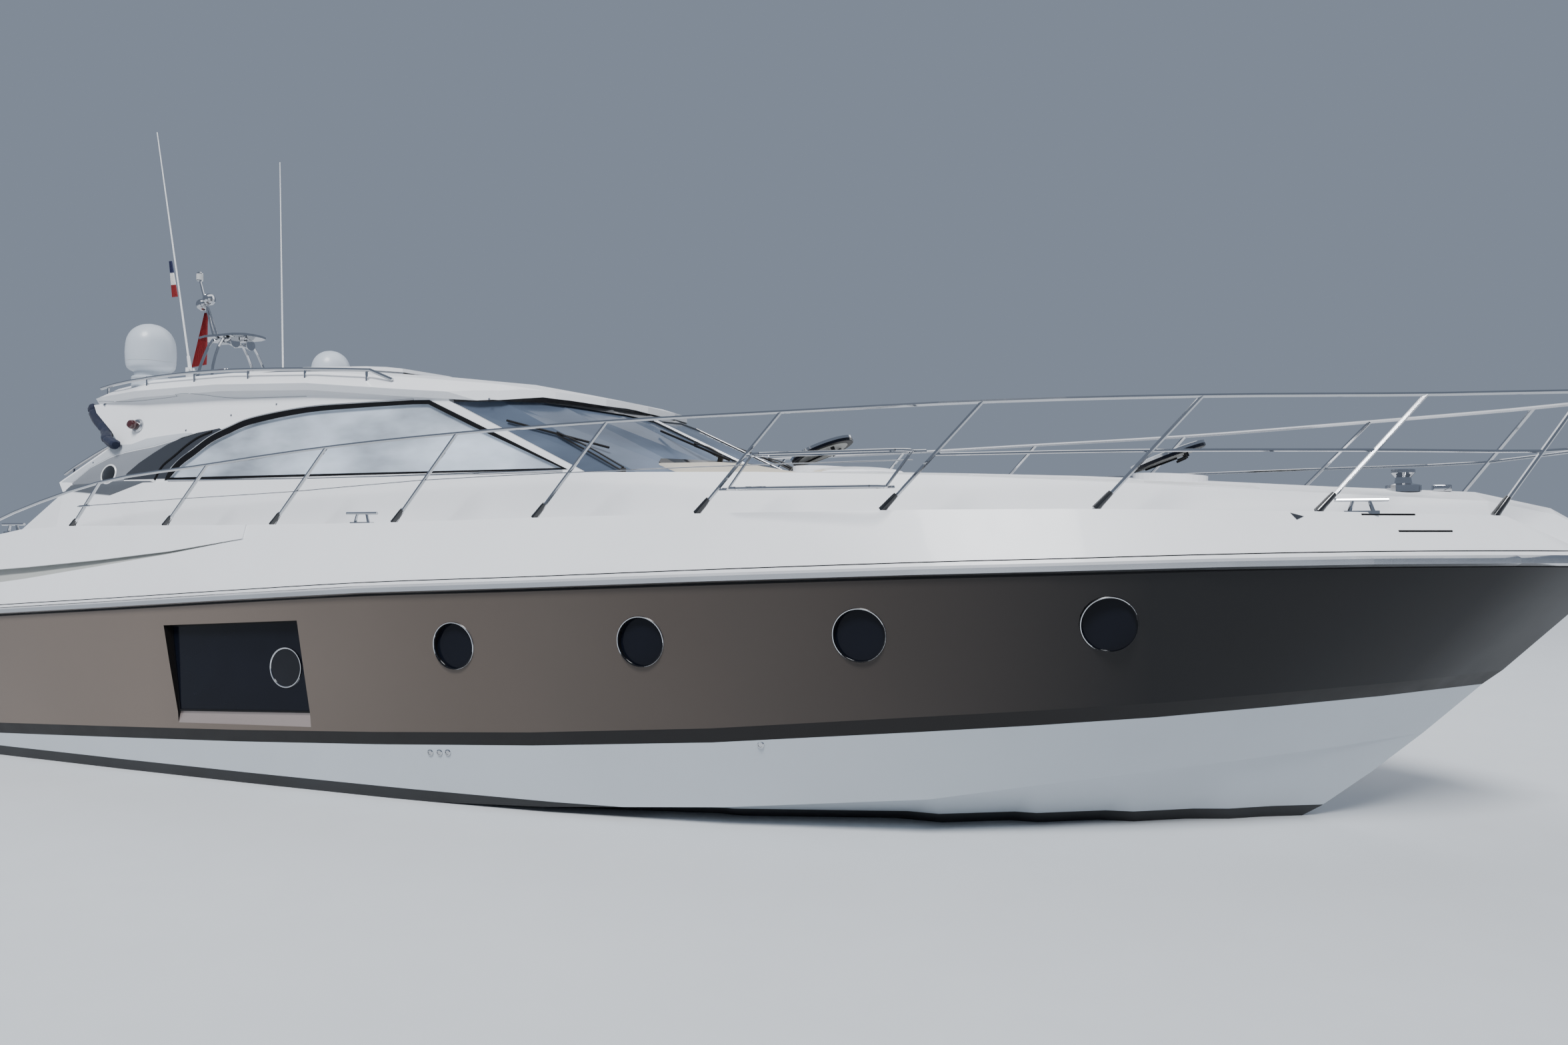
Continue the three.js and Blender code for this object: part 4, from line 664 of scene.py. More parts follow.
def disc(radius: float, low: float, high: float) -> Line:
    """Returns the profile of a plain round plate between two heights."""
    return [(0.0, low), (radius, low), (radius, high), (0.0, high)]


def plate(name: str, outline: list[Point], raised: Vector, finish: Finish, bevel: float = 0.0,
          **fitting: Slot | str) -> Piece:
    """Extrudes an outline by a vector and rounds the edge of its face.

    Args:
        name: The piece's name.
        outline: Points around the plate's back.
        raised: Vector from its back to its face.
        finish: Its finish.
        bevel: Width of the rounding.
        fitting: Its slot and body, where they aren't the usual ones.

    Returns:
        The plate as an object.
    """
    shape = bmesh.new()
    back = shape.faces.new([shape.verts.new(point) for point in outline])
    lifted = raise_faces(shape, [back], raised)
    if bevel:
        face = next(part for part in lifted if isinstance(part, bmesh.types.BMFace))
        bmesh.ops.bevel(shape, geom=list(face.edges), offset=bevel, segments=2, profile=0.5, affect="EDGES",
                        material=-1)
    return fitted(name, shape, finish, **fitting)


def band(name: str, outer: list[Point], inner: list[Point], raised: Vector, finish: Finish) -> Piece:
    """Makes a flat closed strip between two outlines, raised by a vector.

    Args:
        name: The piece's name.
        outer: Points around its outer edge.
        inner: As many around its inner edge.
        raised: Vector from its back to its face.
        finish: Its finish.

    Returns:
        The object.
    """
    shape = bmesh.new()
    for line in (outer, inner):
        corners = [shape.verts.new(point) for point in line]
        for pair in zip(corners, corners[1:] + corners[:1]):
            shape.edges.new(pair)
    raise_faces(shape, bmesh.ops.bridge_loops(shape, edges=shape.edges[:])["faces"], raised)
    return fitted(name, shape, finish)


def block_shape(low: Point, high: Point, bevel: float) -> bmesh.types.BMesh:
    """Makes the shape of a block between two corners with rounded edges.

    Args:
        low: Lower corner.
        high: Upper corner.
        bevel: Width of the rounding.

    Returns:
        The mesh.
    """
    shape = bmesh.new()
    bmesh.ops.create_cube(shape, size=1.0)
    bmesh.ops.scale(shape, vec=Vector(high) - Vector(low), verts=shape.verts)
    bmesh.ops.bevel(shape, geom=shape.edges[:], offset=bevel, segments=3, profile=0.5, affect="EDGES",
                    material=-1)
    place = Matrix.Translation((Vector(high) + Vector(low)) / 2.0)
    bmesh.ops.transform(shape, matrix=place, verts=shape.verts)
    return shape


def block(name: str, low: Point, high: Point, finish: Finish, bevel: float, **fitting: Slot | str) -> Piece:
    """Makes a fitted block between two corners with rounded edges."""
    return fitted(name, block_shape(low, high, bevel), finish, **fitting)


def sweep(name: str, path: list[Point], reach: float | Callable[[float, float], float], finish: Finish,
          around: int = 10, closed: bool = False, **fitting: Slot | str) -> Piece:
    """Bridges rings along a path.

    Args:
        name: The piece's name.
        path: Points of the path.
        reach: The radius, or gives it at a share of the path and an angle around it.
        finish: Its finish.
        around: Points on each ring.
        closed: Whether the path's end meets its start.
        fitting: Its slot and body, where they aren't the usual ones.

    Returns:
        The swept body as an object.
    """
    shape = bmesh.new()
    points = [Vector(point) for point in path]
    last = len(points) - 1
    across = UP.cross(points[1] - points[0])
    across = across if across.length > 1e-4 else Vector((0.0, 1.0, 0.0))
    rings = []
    for number, point in enumerate(points):
        before = points[number - 1] if number or closed else point
        after = points[(number + 1) % len(points)] if number < last or closed else point
        ahead = (after - before).normalized()
        across = (across - ahead * across.dot(ahead)).normalized()
        frame_at = Matrix((across, ahead.cross(across), ahead)).transposed().to_4x4()
        made = bmesh.ops.create_circle(shape, cap_ends=number in (0, last) and not closed, radius=1.0,
                                       segments=around)["verts"]
        for order, corner in enumerate(made):
            corner.co *= reach(number / last, 2.0 * math.pi * order / around) if callable(reach) else reach
        bmesh.ops.transform(shape, matrix=Matrix.Translation(point) @ frame_at, verts=made)
        rings.append({edge for corner in made for edge in corner.link_edges})
    for one, other in zip(rings, rings[1:] + (rings[:1] if closed else [])):
        bmesh.ops.bridge_loops(shape, edges=[*one, *other])
    return fitted(name, shape, finish, **fitting)


def tube(name: str, points: list[Point], radius: float, finish: Finish, around: int = 10, steps: int = 5,
         **fitting: Slot | str) -> Piece:
    """Makes a round tube along a smooth line through points, or a straight one where steps is 1."""
    line = smooth_line(points, steps) if steps > 1 and len(points) > 2 else points
    return sweep(name, line, radius, finish, around, **fitting)


class Skin:
    """Finds points on the surface of nodes by casting rays at it."""

    def __init__(self, *node_names: str) -> None:
        """Joins the faces of some nodes.

        Args:
            node_names: The nodes.
        """
        corners, faces = [], []
        for node in (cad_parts[name] for name in node_names):
            faces += [tuple(corner + len(corners) for corner in face.vertices) for face in node.data.polygons]
            corners += [vertex.co for vertex in node.data.vertices]
        self.tree = BVHTree.FromPolygons(corners, faces)

    def hit(self, start: Point, direction: Point) -> Vector:
        """Finds the first point met from a start.

        Args:
            start: Where the ray starts.
            direction: Where it points.

        Returns:
            The point.
        """
        place = self.tree.ray_cast(Vector(start), Vector(direction))[0]
        if place is None:
            raise ValueError(f"nothing met from {start}")
        return place

    def out(self, x: float, z: float, side: float) -> Vector:
        """Returns the point that a level ray from outside meets at x and z."""
        return self.hit((x, side * 4.0, z), (0.0, -side, 0.0))

    def down(self, x: float, y: float) -> Vector:
        """Returns the point that a ray from above meets at x and y."""
        return self.hit((x, y, 9.0), -UP)

    def traced(self, line: Table, rise: float, steps: int, side: float) -> list[Vector]:
        """Returns a smooth line through points of x and z, raised and laid on one side."""
        smooth = smooth_line([(x, 0.0, z + rise) for x, z in line], steps)
        return [self.out(point.x, point.z, side) for point in smooth]


def smooth_line(points: list[Point], steps: int) -> list[Vector]:
    """Draws a smooth line through points.

    Args:
        points: The points.
        steps: Steps from each point to the next.

    Returns:
        The line's points.
    """
    knots = [Vector(point) for point in points]
    knots = [2 * knots[0] - knots[1], *knots, 2 * knots[-1] - knots[-2]]
    line = []
    for a, b, c, d in zip(knots, knots[1:], knots[2:], knots[3:]):
        for step in range(steps):
            t = step / steps
            line.append(0.5 * (2 * b + (c - a) * t + (2 * a - 5 * b + 4 * c - d) * t ** 2
                               + (3 * b - a - 3 * c + d) * t ** 3))
    return [*line, knots[-2]]


def row_at(rows: Table, x: float) -> list[float]:
    """Reads a table that starts with x between two of its rows.

    Args:
        rows: The table.
        x: Place between its first and last row.

    Returns:
        The values beside x, between those of the rows on either side.
    """
    before, after = next((a, b) for a, b in zip(rows, rows[1:]) if a[0] <= x <= b[0])
    share = (x - before[0]) / (after[0] - before[0])
    return [a + (b - a) * share for a, b in zip(before[1:], after[1:])]


def turn_about(axis: str, degrees: float) -> Matrix:
    """Returns a turn about an axis."""
    return Matrix.Rotation(math.radians(degrees), 4, axis)


def spread(outline: Line, distance: float) -> Line:
    """Moves an outline's points outwards, or inwards where the distance is below 0.

    Args:
        outline: Points around the outline.
        distance: How far they move.

    Returns:
        The moved points.
    """
    area = sum(a[0] * b[1] - b[0] * a[1] for a, b in zip(outline, outline[1:] + outline[:1]))
    turn = 1.0 if area > 0 else -1.0
    moved = []
    for before, here, after in zip(outline[-1:] + outline[:-1], outline, outline[1:] + outline[:1]):
        first = (Vector(here) - Vector(before)).normalized()
        second = (Vector(after) - Vector(here)).normalized()
        normal = Vector((first.y + second.y, -first.x - second.x)).normalized() * turn
        stretch = 1.0 / max(0.5, normal.dot(Vector((first.y, -first.x)) * turn))
        moved.append((here[0] + normal.x * distance * stretch, here[1] + normal.y * distance * stretch))
    return moved


def on_side(side: float) -> Placing:
    """Makes the placing of points on the leaning side of the cabin.

    Args:
        side: 1 to port and -1 to starboard.

    Returns:
        A function that gives a point for x, z and a distance off the side.
    """
    y_foot, z_foot = SIDE_FOOT

    def place(x: float, z: float, out: float) -> Point:
        """Returns the point at x and z, out metres off the side."""
        y = y_foot - math.tan(SIDE_LEAN) * (z - z_foot) + out * math.cos(SIDE_LEAN)
        return (x, side * y, z + out * math.sin(SIDE_LEAN))

    return place


def off_side(side: float, out: float) -> Vector:
    """Returns a vector straight off the leaning side."""
    place = on_side(side)
    return Vector(place(0.0, 3.0, out)) - Vector(place(0.0, 3.0, 0.0))


@dataclass
class Fairing:
    """Long lines of hull and deck, which their shading follows smoothly.

    Attributes:
        hull: Rows of x, half-breadth and height of keel, chine, knuckle and sheer up to the fore body.
        bow: The same rows by their share of the way to the stem.
        ends: Where keel and chine, knuckle, chamfer and sheer end on the stem.
        wing_ends: Where the raised panel along the gunwale ends ahead.
        deck: Rows of x, gunwale, side deck and shoulder half-breadths and heights, and crown.
        fore_x: Where the fore body starts.
        chine_flat: Width and drop of the chine's flat.
        chamfer: How far the chamfer stands out and rises from the knuckle.
        gutter: Drop from gunwale to side deck.
        reach: How far a face may lie from its line's strip.
        likeness: Least share of a face's direction that its strip has too.
    """

    fore_x: float = 3.5
    chine_flat: Flat = (0.13, 0.0217)
    chamfer: Flat = (0.045, 0.110)
    gutter: float = 0.070
    reach: float = 0.080
    likeness: float = 0.88

    hull: Table = ((-7.0, -0.620, 1.930, -0.120, 2.010, 0.170, 2.090, 1.330),
                   (-5.5, -0.720, 1.965, -0.115, 2.050, 0.240, 2.150, 1.443),
                   (-4.0, -0.780, 1.990, -0.100, 2.080, 0.310, 2.200, 1.541),
                   (-2.5, -0.825, 2.000, -0.070, 2.095, 0.380, 2.235, 1.643),
                   (-1.0, -0.845, 1.990, -0.020, 2.100, 0.463, 2.250, 1.738),
                   (0.5, -0.855, 1.950, 0.050, 2.090, 0.558, 2.250, 1.805),
                   (2.0, -0.855, 1.850, 0.160, 2.060, 0.682, 2.220, 1.877),
                   (3.5, -0.840, 1.640, 0.300, 1.950, 0.838, 2.110, 1.940))
    bow: Table = ((0.2, -0.780, 1.420, 0.400, 1.740, 0.895, 1.950, 1.970),
                  (0.4, -0.650, 1.130, 0.478, 1.440, 0.945, 1.710, 2.000),
                  (0.6, -0.360, 0.790, 0.550, 1.060, 1.000, 1.360, 2.018),
                  (0.8, 0.090, 0.410, 0.620, 0.590, 1.045, 0.860, 2.020),
                  (0.9, 0.380, 0.205, 0.660, 0.310, 1.068, 0.530, 2.015),
                  (1.0, 0.700, 0.0, 0.700, 0.0, 1.085, 0.0, 2.000))
    ends: tuple[float, float, float, float] = (6.92, 7.30, 7.43, 8.20)
    wing_ends: float = -2.3
    deck: Table = (
        (-7.00, 1.900, 1.960, 1.560, 1.500, 1.985, 1.990), (-6.23, 1.935, 2.130, 1.620, 1.540, 2.190, 2.195),
        (-5.50, 1.965, 2.235, 1.650, 1.560, 2.620, 2.625), (-4.83, 1.985, 2.268, 1.660, 1.570, 2.575, 2.580),
        (-4.36, 2.000, 2.270, 1.660, 1.570, 2.700, 2.700), (-2.50, 2.045, 2.272, 1.665, 1.570, 2.700, 2.700),
        (-1.00, 2.065, 2.286, 1.660, 1.565, 2.700, 2.700), (0.50, 2.065, 2.320, 1.640, 1.560, 2.700, 2.700),
        (0.90, 2.060, 2.328, 1.620, 1.500, 2.700, 2.715), (2.00, 2.035, 2.346, 1.560, 1.300, 2.690, 2.775),
        (3.50, 1.925, 2.362, 1.450, 1.190, 2.640, 2.720), (4.44, 1.765, 2.364, 1.300, 1.060, 2.590, 2.680),
        (5.38, 1.525, 2.355, 1.090, 0.880, 2.535, 2.625), (6.32, 1.170, 2.340, 0.800, 0.640, 2.480, 2.560),
        (7.26, 0.670, 2.318, 0.400, 0.300, 2.430, 2.505), (7.73, 0.350, 2.120, 0.180, 0.130, 2.330, 2.380))

    def build(self) -> None:
        """Sets the shading of hull bottom, topsides and deck."""
        rows = [(x, x, x, x, 0.0, *rest) for x, *rest in self.hull]
        rows += [(*(self.fore_x + share * (end - self.fore_x) for end in self.ends), share, *rest)
                 for share, *rest in self.bow]
        keel = [(row[0], 0.0, row[5]) for row in rows]
        chine = [(row[0], row[6], row[7]) for row in rows]
        width, drop = self.chine_flat
        flat = [(row[0], row[6] - width * (1 - row[4]), row[7] - drop * (1 - row[4])) for row in rows]
        knuckle = [(row[1], row[8], row[9]) for row in rows]
        out, rise = self.chamfer
        chamfer = [(row[2], row[8] + (out if row[8] else 0.0), row[9] + rise) for row in rows]
        sheer = [(row[3], row[10], row[11]) for row in rows]
        self.shade("hull_bottom", [(keel, flat), (flat, chine), (chine, knuckle)])
        self.shade("hull_topsides", [(knuckle, chamfer), (chamfer, sheer)])
        gunwale = [(row[0], row[1], row[2]) for row in self.deck]
        dense = smooth_line(sheer, 8)
        low = [next(a.lerp(b, (row[0] - a.x) / (b.x - a.x)) for a, b in zip(dense, dense[1:])
                    if a.x - 1e-5 <= row[0] <= b.x + 1e-5) for row in self.deck]
        side_deck = [(row[0], row[3], row[2] - self.gutter) for row in self.deck[:-2]]
        shoulder = [(row[0], row[4], row[5]) for row in self.deck[:-2]]
        crown = [(row[0], 0.0, row[6]) for row in self.deck[:-2]]
        self.shade("deck_moulding", [(low, gunwale), (side_deck, shoulder), (shoulder, crown)],
                   self.wing_ends)
        LOG.info("shading faired")

    @staticmethod
    def shade(node_name: str, strips: list[tuple[list[Point], list[Point]]], from_x: float = -9.0) -> None:
        """Sets a node's normals from smooth strips between its long lines.

        Args:
            node_name: The node.
            strips: Pairs of long lines to port, with as many points each.
            from_x: Where the smooth shading starts.
        """
        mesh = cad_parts[node_name].data
        normals = [corner.vector.copy() for corner in mesh.corner_normals]
        made = []
        for side in (1.0, -1.0):
            for strip in strips:
                lines = [smooth_line([(x, side * y, z) for x, y, z in line], 8) for line in strip]
                rungs = list(zip(*lines))
                corners = [point for rung in rungs for point in rung]
                quads = [(2 * i, 2 * i + 1, 2 * i + 3, 2 * i + 2) for i in range(len(rungs) - 1)]
                made.append((rungs, BVHTree.FromPolygons(corners, quads)))
        for face in mesh.polygons:
            found = []
            for rungs, tree in made:
                _, normal, _, distance = tree.find_nearest(face.center, Fairing.reach)
                likeness = abs(normal.dot(face.normal)) if normal else 0.0
                if face.center.x >= from_x and likeness >= Fairing.likeness:
                    found.append((distance + 0.5 * (1.0 - likeness), len(found), rungs, tree))
            if not found:
                continue
            _, _, rungs, tree = min(found)
            for loop in face.loop_indices:
                normal = Fairing.normal_at(rungs, tree, mesh.vertices[mesh.loops[loop].vertex_index].co)
                normals[loop] = normal if normal.dot(face.normal) > 0 else -normal
        mesh.normals_split_custom_set(normals)

    @staticmethod
    def normal_at(rungs: list[tuple[Vector, Vector]], tree: BVHTree, place: Vector) -> Vector:
        """Returns a strip's smooth normal near a place.

        Args:
            rungs: Pairs of points across the strip.
            tree: The strip's quads.
            place: The place.

        Returns:
            The normal, of either sign.
        """
        spot, _, index, _ = tree.find_nearest(place)
        found = []
        for number in (index, index + 1):
            low, high = rungs[number]
            across = high - low
            share = min(1.0, max(0.0, (spot - low).dot(across) / max(across.length_squared, 1e-9)))
            before, after = rungs[max(number - 1, 0)], rungs[min(number + 1, len(rungs) - 1)]
            along = before[0].lerp(before[1], share) - after[0].lerp(after[1], share)
            found.append((low.lerp(high, share), along.cross(across).normalized()))
        (first, one), (second, other) = found
        way = second - first
        share = min(1.0, max(0.0, (spot - first).dot(way) / max(way.length_squared, 1e-9)))
        return one.lerp(other if other.dot(one) > 0 else -other, share).normalized()


@dataclass
class HullFittings:
    """Round lights, recessed windows, drains and lines of the hull.

    Attributes:
        lights: Middle of each round light along the boat and above the water.
        radius: Inner radius of their rims.
        beyond: How far outside that the hull's lean is measured.
        pane_depth: How far their panes lie behind the rims.
        window_y: Face of the recessed window's pane off the centreline.
        window: Outline of the recess.
        drains: Middle of each drain.
        sheer: The strake's line along the boat and upwards.
    """

    lights: Table = ((-0.150, 1.316), (1.480, 1.406), (3.110, 1.500), (4.730, 1.600))
    radius: float = 0.180
    beyond: float = 0.035
    pane_depth: float = 0.036
    window_y: float = 2.1295
    window: Table = ((-3.160, 0.611), (-1.640, 0.683), (-1.720, 1.469), (-3.270, 1.379))
    drains: Table = ((-0.470, 0.432), (-0.380, 0.438), (-0.300, 0.444), (2.360, 0.685))
    sheer: Table = (
        (-6.9, 1.338), (-5.5, 1.443), (-4.0, 1.541), (-2.5, 1.643), (-1.0, 1.738), (0.5, 1.805), (2.0, 1.877),
        (3.5, 1.940), (4.44, 1.970), (5.38, 2.000), (6.32, 2.018), (7.26, 2.020), (7.7, 2.016))

    def build(self) -> None:
        """Makes the fittings of both sides."""
        skin, deck = Skin("hull_topsides", "hull_bottom"), Skin("deck_moulding")
        for name, side in SIDES:
            for number, (x, z) in enumerate(self.lights, start=1):
                self.round_light(f"{number}_{name}", skin, x, z, side)
            self.recessed_window(name, side)
            for number, (x, z) in enumerate(self.drains, start=1):
                place = skin.out(x, z, side)
                turned(f"drain_{number}_{name}", [(0.0, 0.0), (0.028, 0.0), (0.028, 0.004), (0.019, 0.008),
                                                  (0.017, 0.003), (0.0, 0.003)], place, (0.0, side, 0.0),
                       STEEL, 20)
            sweep(f"sheer_groove_{name}", deck.traced(self.sheer, 0.062, 6, side), 0.004, RUBBER, 6)
            sweep(f"strake_seal_{name}", skin.traced(self.sheer, -0.042, 6, side), 0.008, RUBBER, 6)
            self.bow_slots(name, side, deck)
        LOG.info("hull fittings ready")

    def round_light(self, name: str, skin: Skin, x: float, z: float, side: float) -> None:
        """Makes rim, sleeve and pane of one light.

        Args:
            name: Number and side of the light.
            skin: The hull's surface.
            x: The light's middle along the boat.
            z: Its middle above the water.
            side: 1 to port and -1 to starboard.
        """
        span = self.radius + self.beyond
        east, north, west, south = (skin.out(x + span * math.cos(a), z + span * math.sin(a), side)
                                    for a in (0.0, math.pi / 2, math.pi, 3 * math.pi / 2))
        middle = (east + north + west + south) / 4.0
        normal = (west - east).cross(south - north).normalized()
        normal = normal if normal.y * side > 0 else -normal
        low, high = self.radius - 0.001, self.radius + 0.011
        turned(f"light_rim_{name}", [(low, -0.004), (low, 0.006), (low + 0.003, 0.011), (high - 0.004, 0.011),
                                     (high, 0.005), (high, -0.002)], middle, normal, STEEL, 56)
        inwards = Vector((0.0, -side, 0.0))
        turned(f"light_pane_{name}", disc(self.radius + 0.004, 0.0, 0.006),
               middle + inwards * self.pane_depth, -inwards, DARK_GLASS)
        turned(f"light_sleeve_{name}", [(self.radius + 0.006, 0.0), (self.radius + 0.006, 0.048),
                                        (self.radius + 0.001, 0.048), (self.radius + 0.001, 0.0)],
               middle + inwards * 0.042, -inwards, BLACK)

    def recessed_window(self, name: str, side: float) -> None:
        """Makes the seal of one recessed window and the opening light in its pane.

        Args:
            name: The side's name.
            side: 1 to port and -1 to starboard.
        """
        outline = list(self.window)
        ring = [[(x, side * self.window_y, z) for x, z in spread(outline, gap)] for gap in (-0.003, -0.020)]
        band(f"hull_window_seal_{name}", *ring, Vector((0.0, side * 0.006, 0.0)), RUBBER)
        centre = (-1.930, side * self.window_y, 1.055)
        turned(f"hull_window_light_rim_{name}", [(0.160, 0.0), (0.160, 0.008), (0.164, 0.011), (0.171, 0.011),
                                                 (0.175, 0.0)], centre, (0.0, side, 0.0), STEEL, 56)
        turned(f"hull_window_light_pane_{name}", disc(0.161, 0.0, 0.004),
               centre, (0.0, side, 0.0), SMOKED_GLASS)

    @staticmethod
    def bow_slots(name: str, side: float, deck: Skin) -> None:
        """Makes the two slot lines and the notch in the bow's moulding.

        Args:
            name: The side's name.
            side: 1 to port and -1 to starboard.
            deck: The deck's surface.
        """
        for number, (x0, x1, z) in enumerate(((6.306, 6.654, 2.324), (6.532, 6.881, 2.213)), start=1):
            line = [deck.out(x0 + (x1 - x0) * share / 4.0, z, side) for share in range(5)]
            tube(f"bow_slot_{number}_{name}", line, 0.007, RUBBER, 8, steps=1)
        notch = [deck.out(x, z, side) for x, z in ((5.862, 2.336), (5.905, 2.350), (5.945, 2.312),
                                                   (5.900, 2.290))]
        plate(f"bow_notch_{name}", notch, Vector((0.0, side * 0.005, 0.0)), DARK_GREY, slot=Slot.DARK_PLASTIC)


@dataclass
class CabinSides:
    """Seals, strips and panels around the arched windows.

    Attributes:
        glass: Outline of the glass along the boat and upwards.
        arc: Outer edge of the dark recess abaft the glass.
        line: Line that parts the two greys of the pillar.
        screws: Middle of each cover cap.
    """

    glass: Table = (
        (0.420, 2.737), (-0.549, 3.142), (-1.060, 3.364), (-1.232, 3.370), (-1.800, 3.364), (-2.457, 3.344),
        (-3.096, 3.262), (-3.389, 3.173), (-3.599, 3.090), (-3.778, 2.975), (-3.939, 2.871), (-4.072, 2.735))
    arc: Table = (
        (-4.670, 2.735), (-4.646, 2.797), (-4.503, 2.903), (-4.334, 2.997), (-4.164, 3.082), (-3.988, 3.140),
        (-3.787, 3.187), (-3.517, 3.221))
    line: Table = (
        (-5.400, 2.712), (-5.177, 2.868), (-4.925, 2.967), (-4.735, 3.010), (-4.542, 3.036), (-4.352, 3.060),
        (-4.077, 3.116), (-3.854, 3.171))
    screws: Table = (
        (-3.396, 3.346), (-3.956, 3.216), (-2.843, 3.431), (-5.160, 2.920), (-1.145, 3.432), (-1.035, 3.427),
        (-0.417, 3.370))

    def build(self) -> None:
        """Makes the pieces of both sides."""
        for name, side in SIDES:
            self.window(name, side)
            self.pillar(name, side)
            self.side_light(name, side)
            self.rail(name, side)
        LOG.info("cabin sides ready")

    def window(self, name: str, side: float) -> None:
        """Makes seal, strips and lip of one window.

        Args:
            name: The side's name.
            side: 1 to port and -1 to starboard.
        """
        place = on_side(side)
        arch = smooth_line([(x, 0.0, z) for x, z in self.glass[3:]], 4)
        glass = [*self.glass[:3], *((point.x, point.z) for point in arch)]
        far = spread(glass, 1.0)
        widths = [0.020 if z < 2.75 else 0.026 + 0.030 * min(1.0, max(0.0, (-x - 1.5) / 2.3))
                  for x, z in glass]
        outer = [(x + (a - x) * w, z + (b - z) * w) for (x, z), (a, b), w in zip(glass, far, widths)]
        inner = spread(glass, -0.012)
        seal = [[place(x, z, 0.0) for x, z in ring] for ring in (outer, inner)]
        band(f"window_seal_{name}", *seal, off_side(side, 0.004), RUBBER)
        strip = [(x, z) for x, z in outer if z > 2.8 and x < -1.2]
        tube(f"window_strip_{name}", [place(x, z + 0.007, 0.002) for x, z in strip], 0.006, STEEL, 8)
        low = [(-4.060, 2.718), (-2.500, 2.700), (-1.108, 2.704), (0.413, 2.722)]
        tube(f"window_lip_{name}", [place(x, z, 0.006) for x, z in low], 0.010, STEEL, 8)
        for number, (x, z) in enumerate(self.screws, start=1):
            turned(f"cover_cap_{number}_{name}", [(0.0, -0.002), (0.011, -0.002), (0.010, 0.004),
                                                  (0.0, 0.006)], place(x, z, 0.0), off_side(side, 1.0), SATIN,
                   12)

    def pillar(self, name: str, side: float) -> None:
        """Makes the panels of one aft pillar and its bare round cover.

        Args:
            name: The side's name.
            side: 1 to port and -1 to starboard.
        """
        place = on_side(side)
        inner = [(-4.110, 2.735), (-4.020, 2.860), (-3.900, 2.965), (-3.790, 3.055), (-3.670, 3.125),
                 (-3.480, 3.206)]
        lower = [*self.line, *self.arc[-2:0:-1], (-4.675, 2.716), (-5.390, 2.694)]
        upper = [(-5.560, 2.728), (-4.905, 3.095), (-4.668, 3.098), (-4.474, 3.150), (-4.235, 3.172),
                 (-3.999, 3.188), (-3.880, 3.190), *((x, z + 0.010) for x, z in self.line[::-1])]
        foot = [(-5.470, 2.634), (-5.250, 2.618), (-4.815, 2.582), (-4.730, 2.606), (-4.400, 2.694),
                (-4.240, 2.700), (-4.300, 2.716), (-4.670, 2.722), (-5.400, 2.690)]
        panels = (("recess", [*self.arc, *inner[::-1]], 0.005, DARK_GREY, 0.0),
                  ("lower", lower, 0.007, MID_GREY, 0.002), ("upper", upper, 0.006, LIGHT_GREY, 0.002),
                  ("foot", foot, 0.013, GREY, 0.004))
        for part, outline, thick, finish, bevel in panels:
            plate(f"pillar_{part}_{name}", [place(x, z, -0.002) for x, z in outline], off_side(side, thick),
                  finish, bevel)
        strip = [(-4.240, 2.725), (-4.174, 2.859), (-4.035, 2.962), (-3.897, 3.065), (-3.754, 3.143),
                 (-3.600, 3.190)]
        tube(f"pillar_strip_{name}", [place(x, z, 0.006) for x, z in strip], 0.010, RUBBER, 8)
        centre = place(-4.895, 2.793, 0.003)
        turned(f"round_cover_{name}", [(0.0, 0.0), (0.094, 0.0), (0.094, 0.004), (0.088, 0.007),
                                       (0.0, 0.009)], centre, off_side(side, 1.0), GLOSS_BLACK)
        turned(f"round_cover_rim_{name}", [(0.091, 0.0), (0.106, 0.0), (0.106, 0.006), (0.100, 0.011),
                                           (0.091, 0.009)], centre, off_side(side, 1.0), PLASTIC)
        turned(f"pillar_fitting_{name}", [(0.0, 0.0), (0.016, 0.0), (0.014, 0.010), (0.0, 0.014)],
               place(-5.176, 3.530, 0.0), off_side(side, 1.0), STEEL, 16)

    @staticmethod
    def side_light(name: str, side: float) -> None:
        """Makes the navigation light on one pillar.

        Args:
            name: The side's name.
            side: 1 to port and -1 to starboard.
        """
        place = on_side(side)
        turned(f"side_light_base_{name}", [(0.0, -0.004), (0.072, -0.004), (0.072, 0.012), (0.060, 0.028),
                                           (0.0, 0.030)], place(-4.630, 3.286, 0.0), off_side(side, 1.0),
               SATIN, 32)
        turned(f"side_light_lens_{name}", [(0.0, 0.0), (0.046, 0.0), (0.048, 0.040), (0.036, 0.060),
                                           (0.0, 0.066)], place(-4.651, 3.286, 0.024), off_side(side, 1.0),
               RED_LENS, 32)

    @staticmethod
    def rail(name: str, side: float) -> None:
        """Makes the grab rail up one pillar's aft edge.

        Args:
            name: The side's name.
            side: 1 to port and -1 to starboard.
        """
        place = on_side(side)
        line = [place(x, z + 0.030, -0.040) for x, z in ((-5.600, 2.790), (-5.440, 2.880), (-5.200, 2.998),
                                                        (-4.950, 3.110))]
        tube(f"grab_rail_{name}", line, 0.014, STEEL, 12)
        for number, (x, z) in enumerate(((-5.480, 2.790), (-5.020, 3.020)), start=1):
            feet = [place(x - 0.010, z + 0.100, -0.040), place(x + 0.010, z + 0.010, -0.040)]
            tube(f"grab_rail_foot_{number}_{name}", feet, 0.010, STEEL, 8)


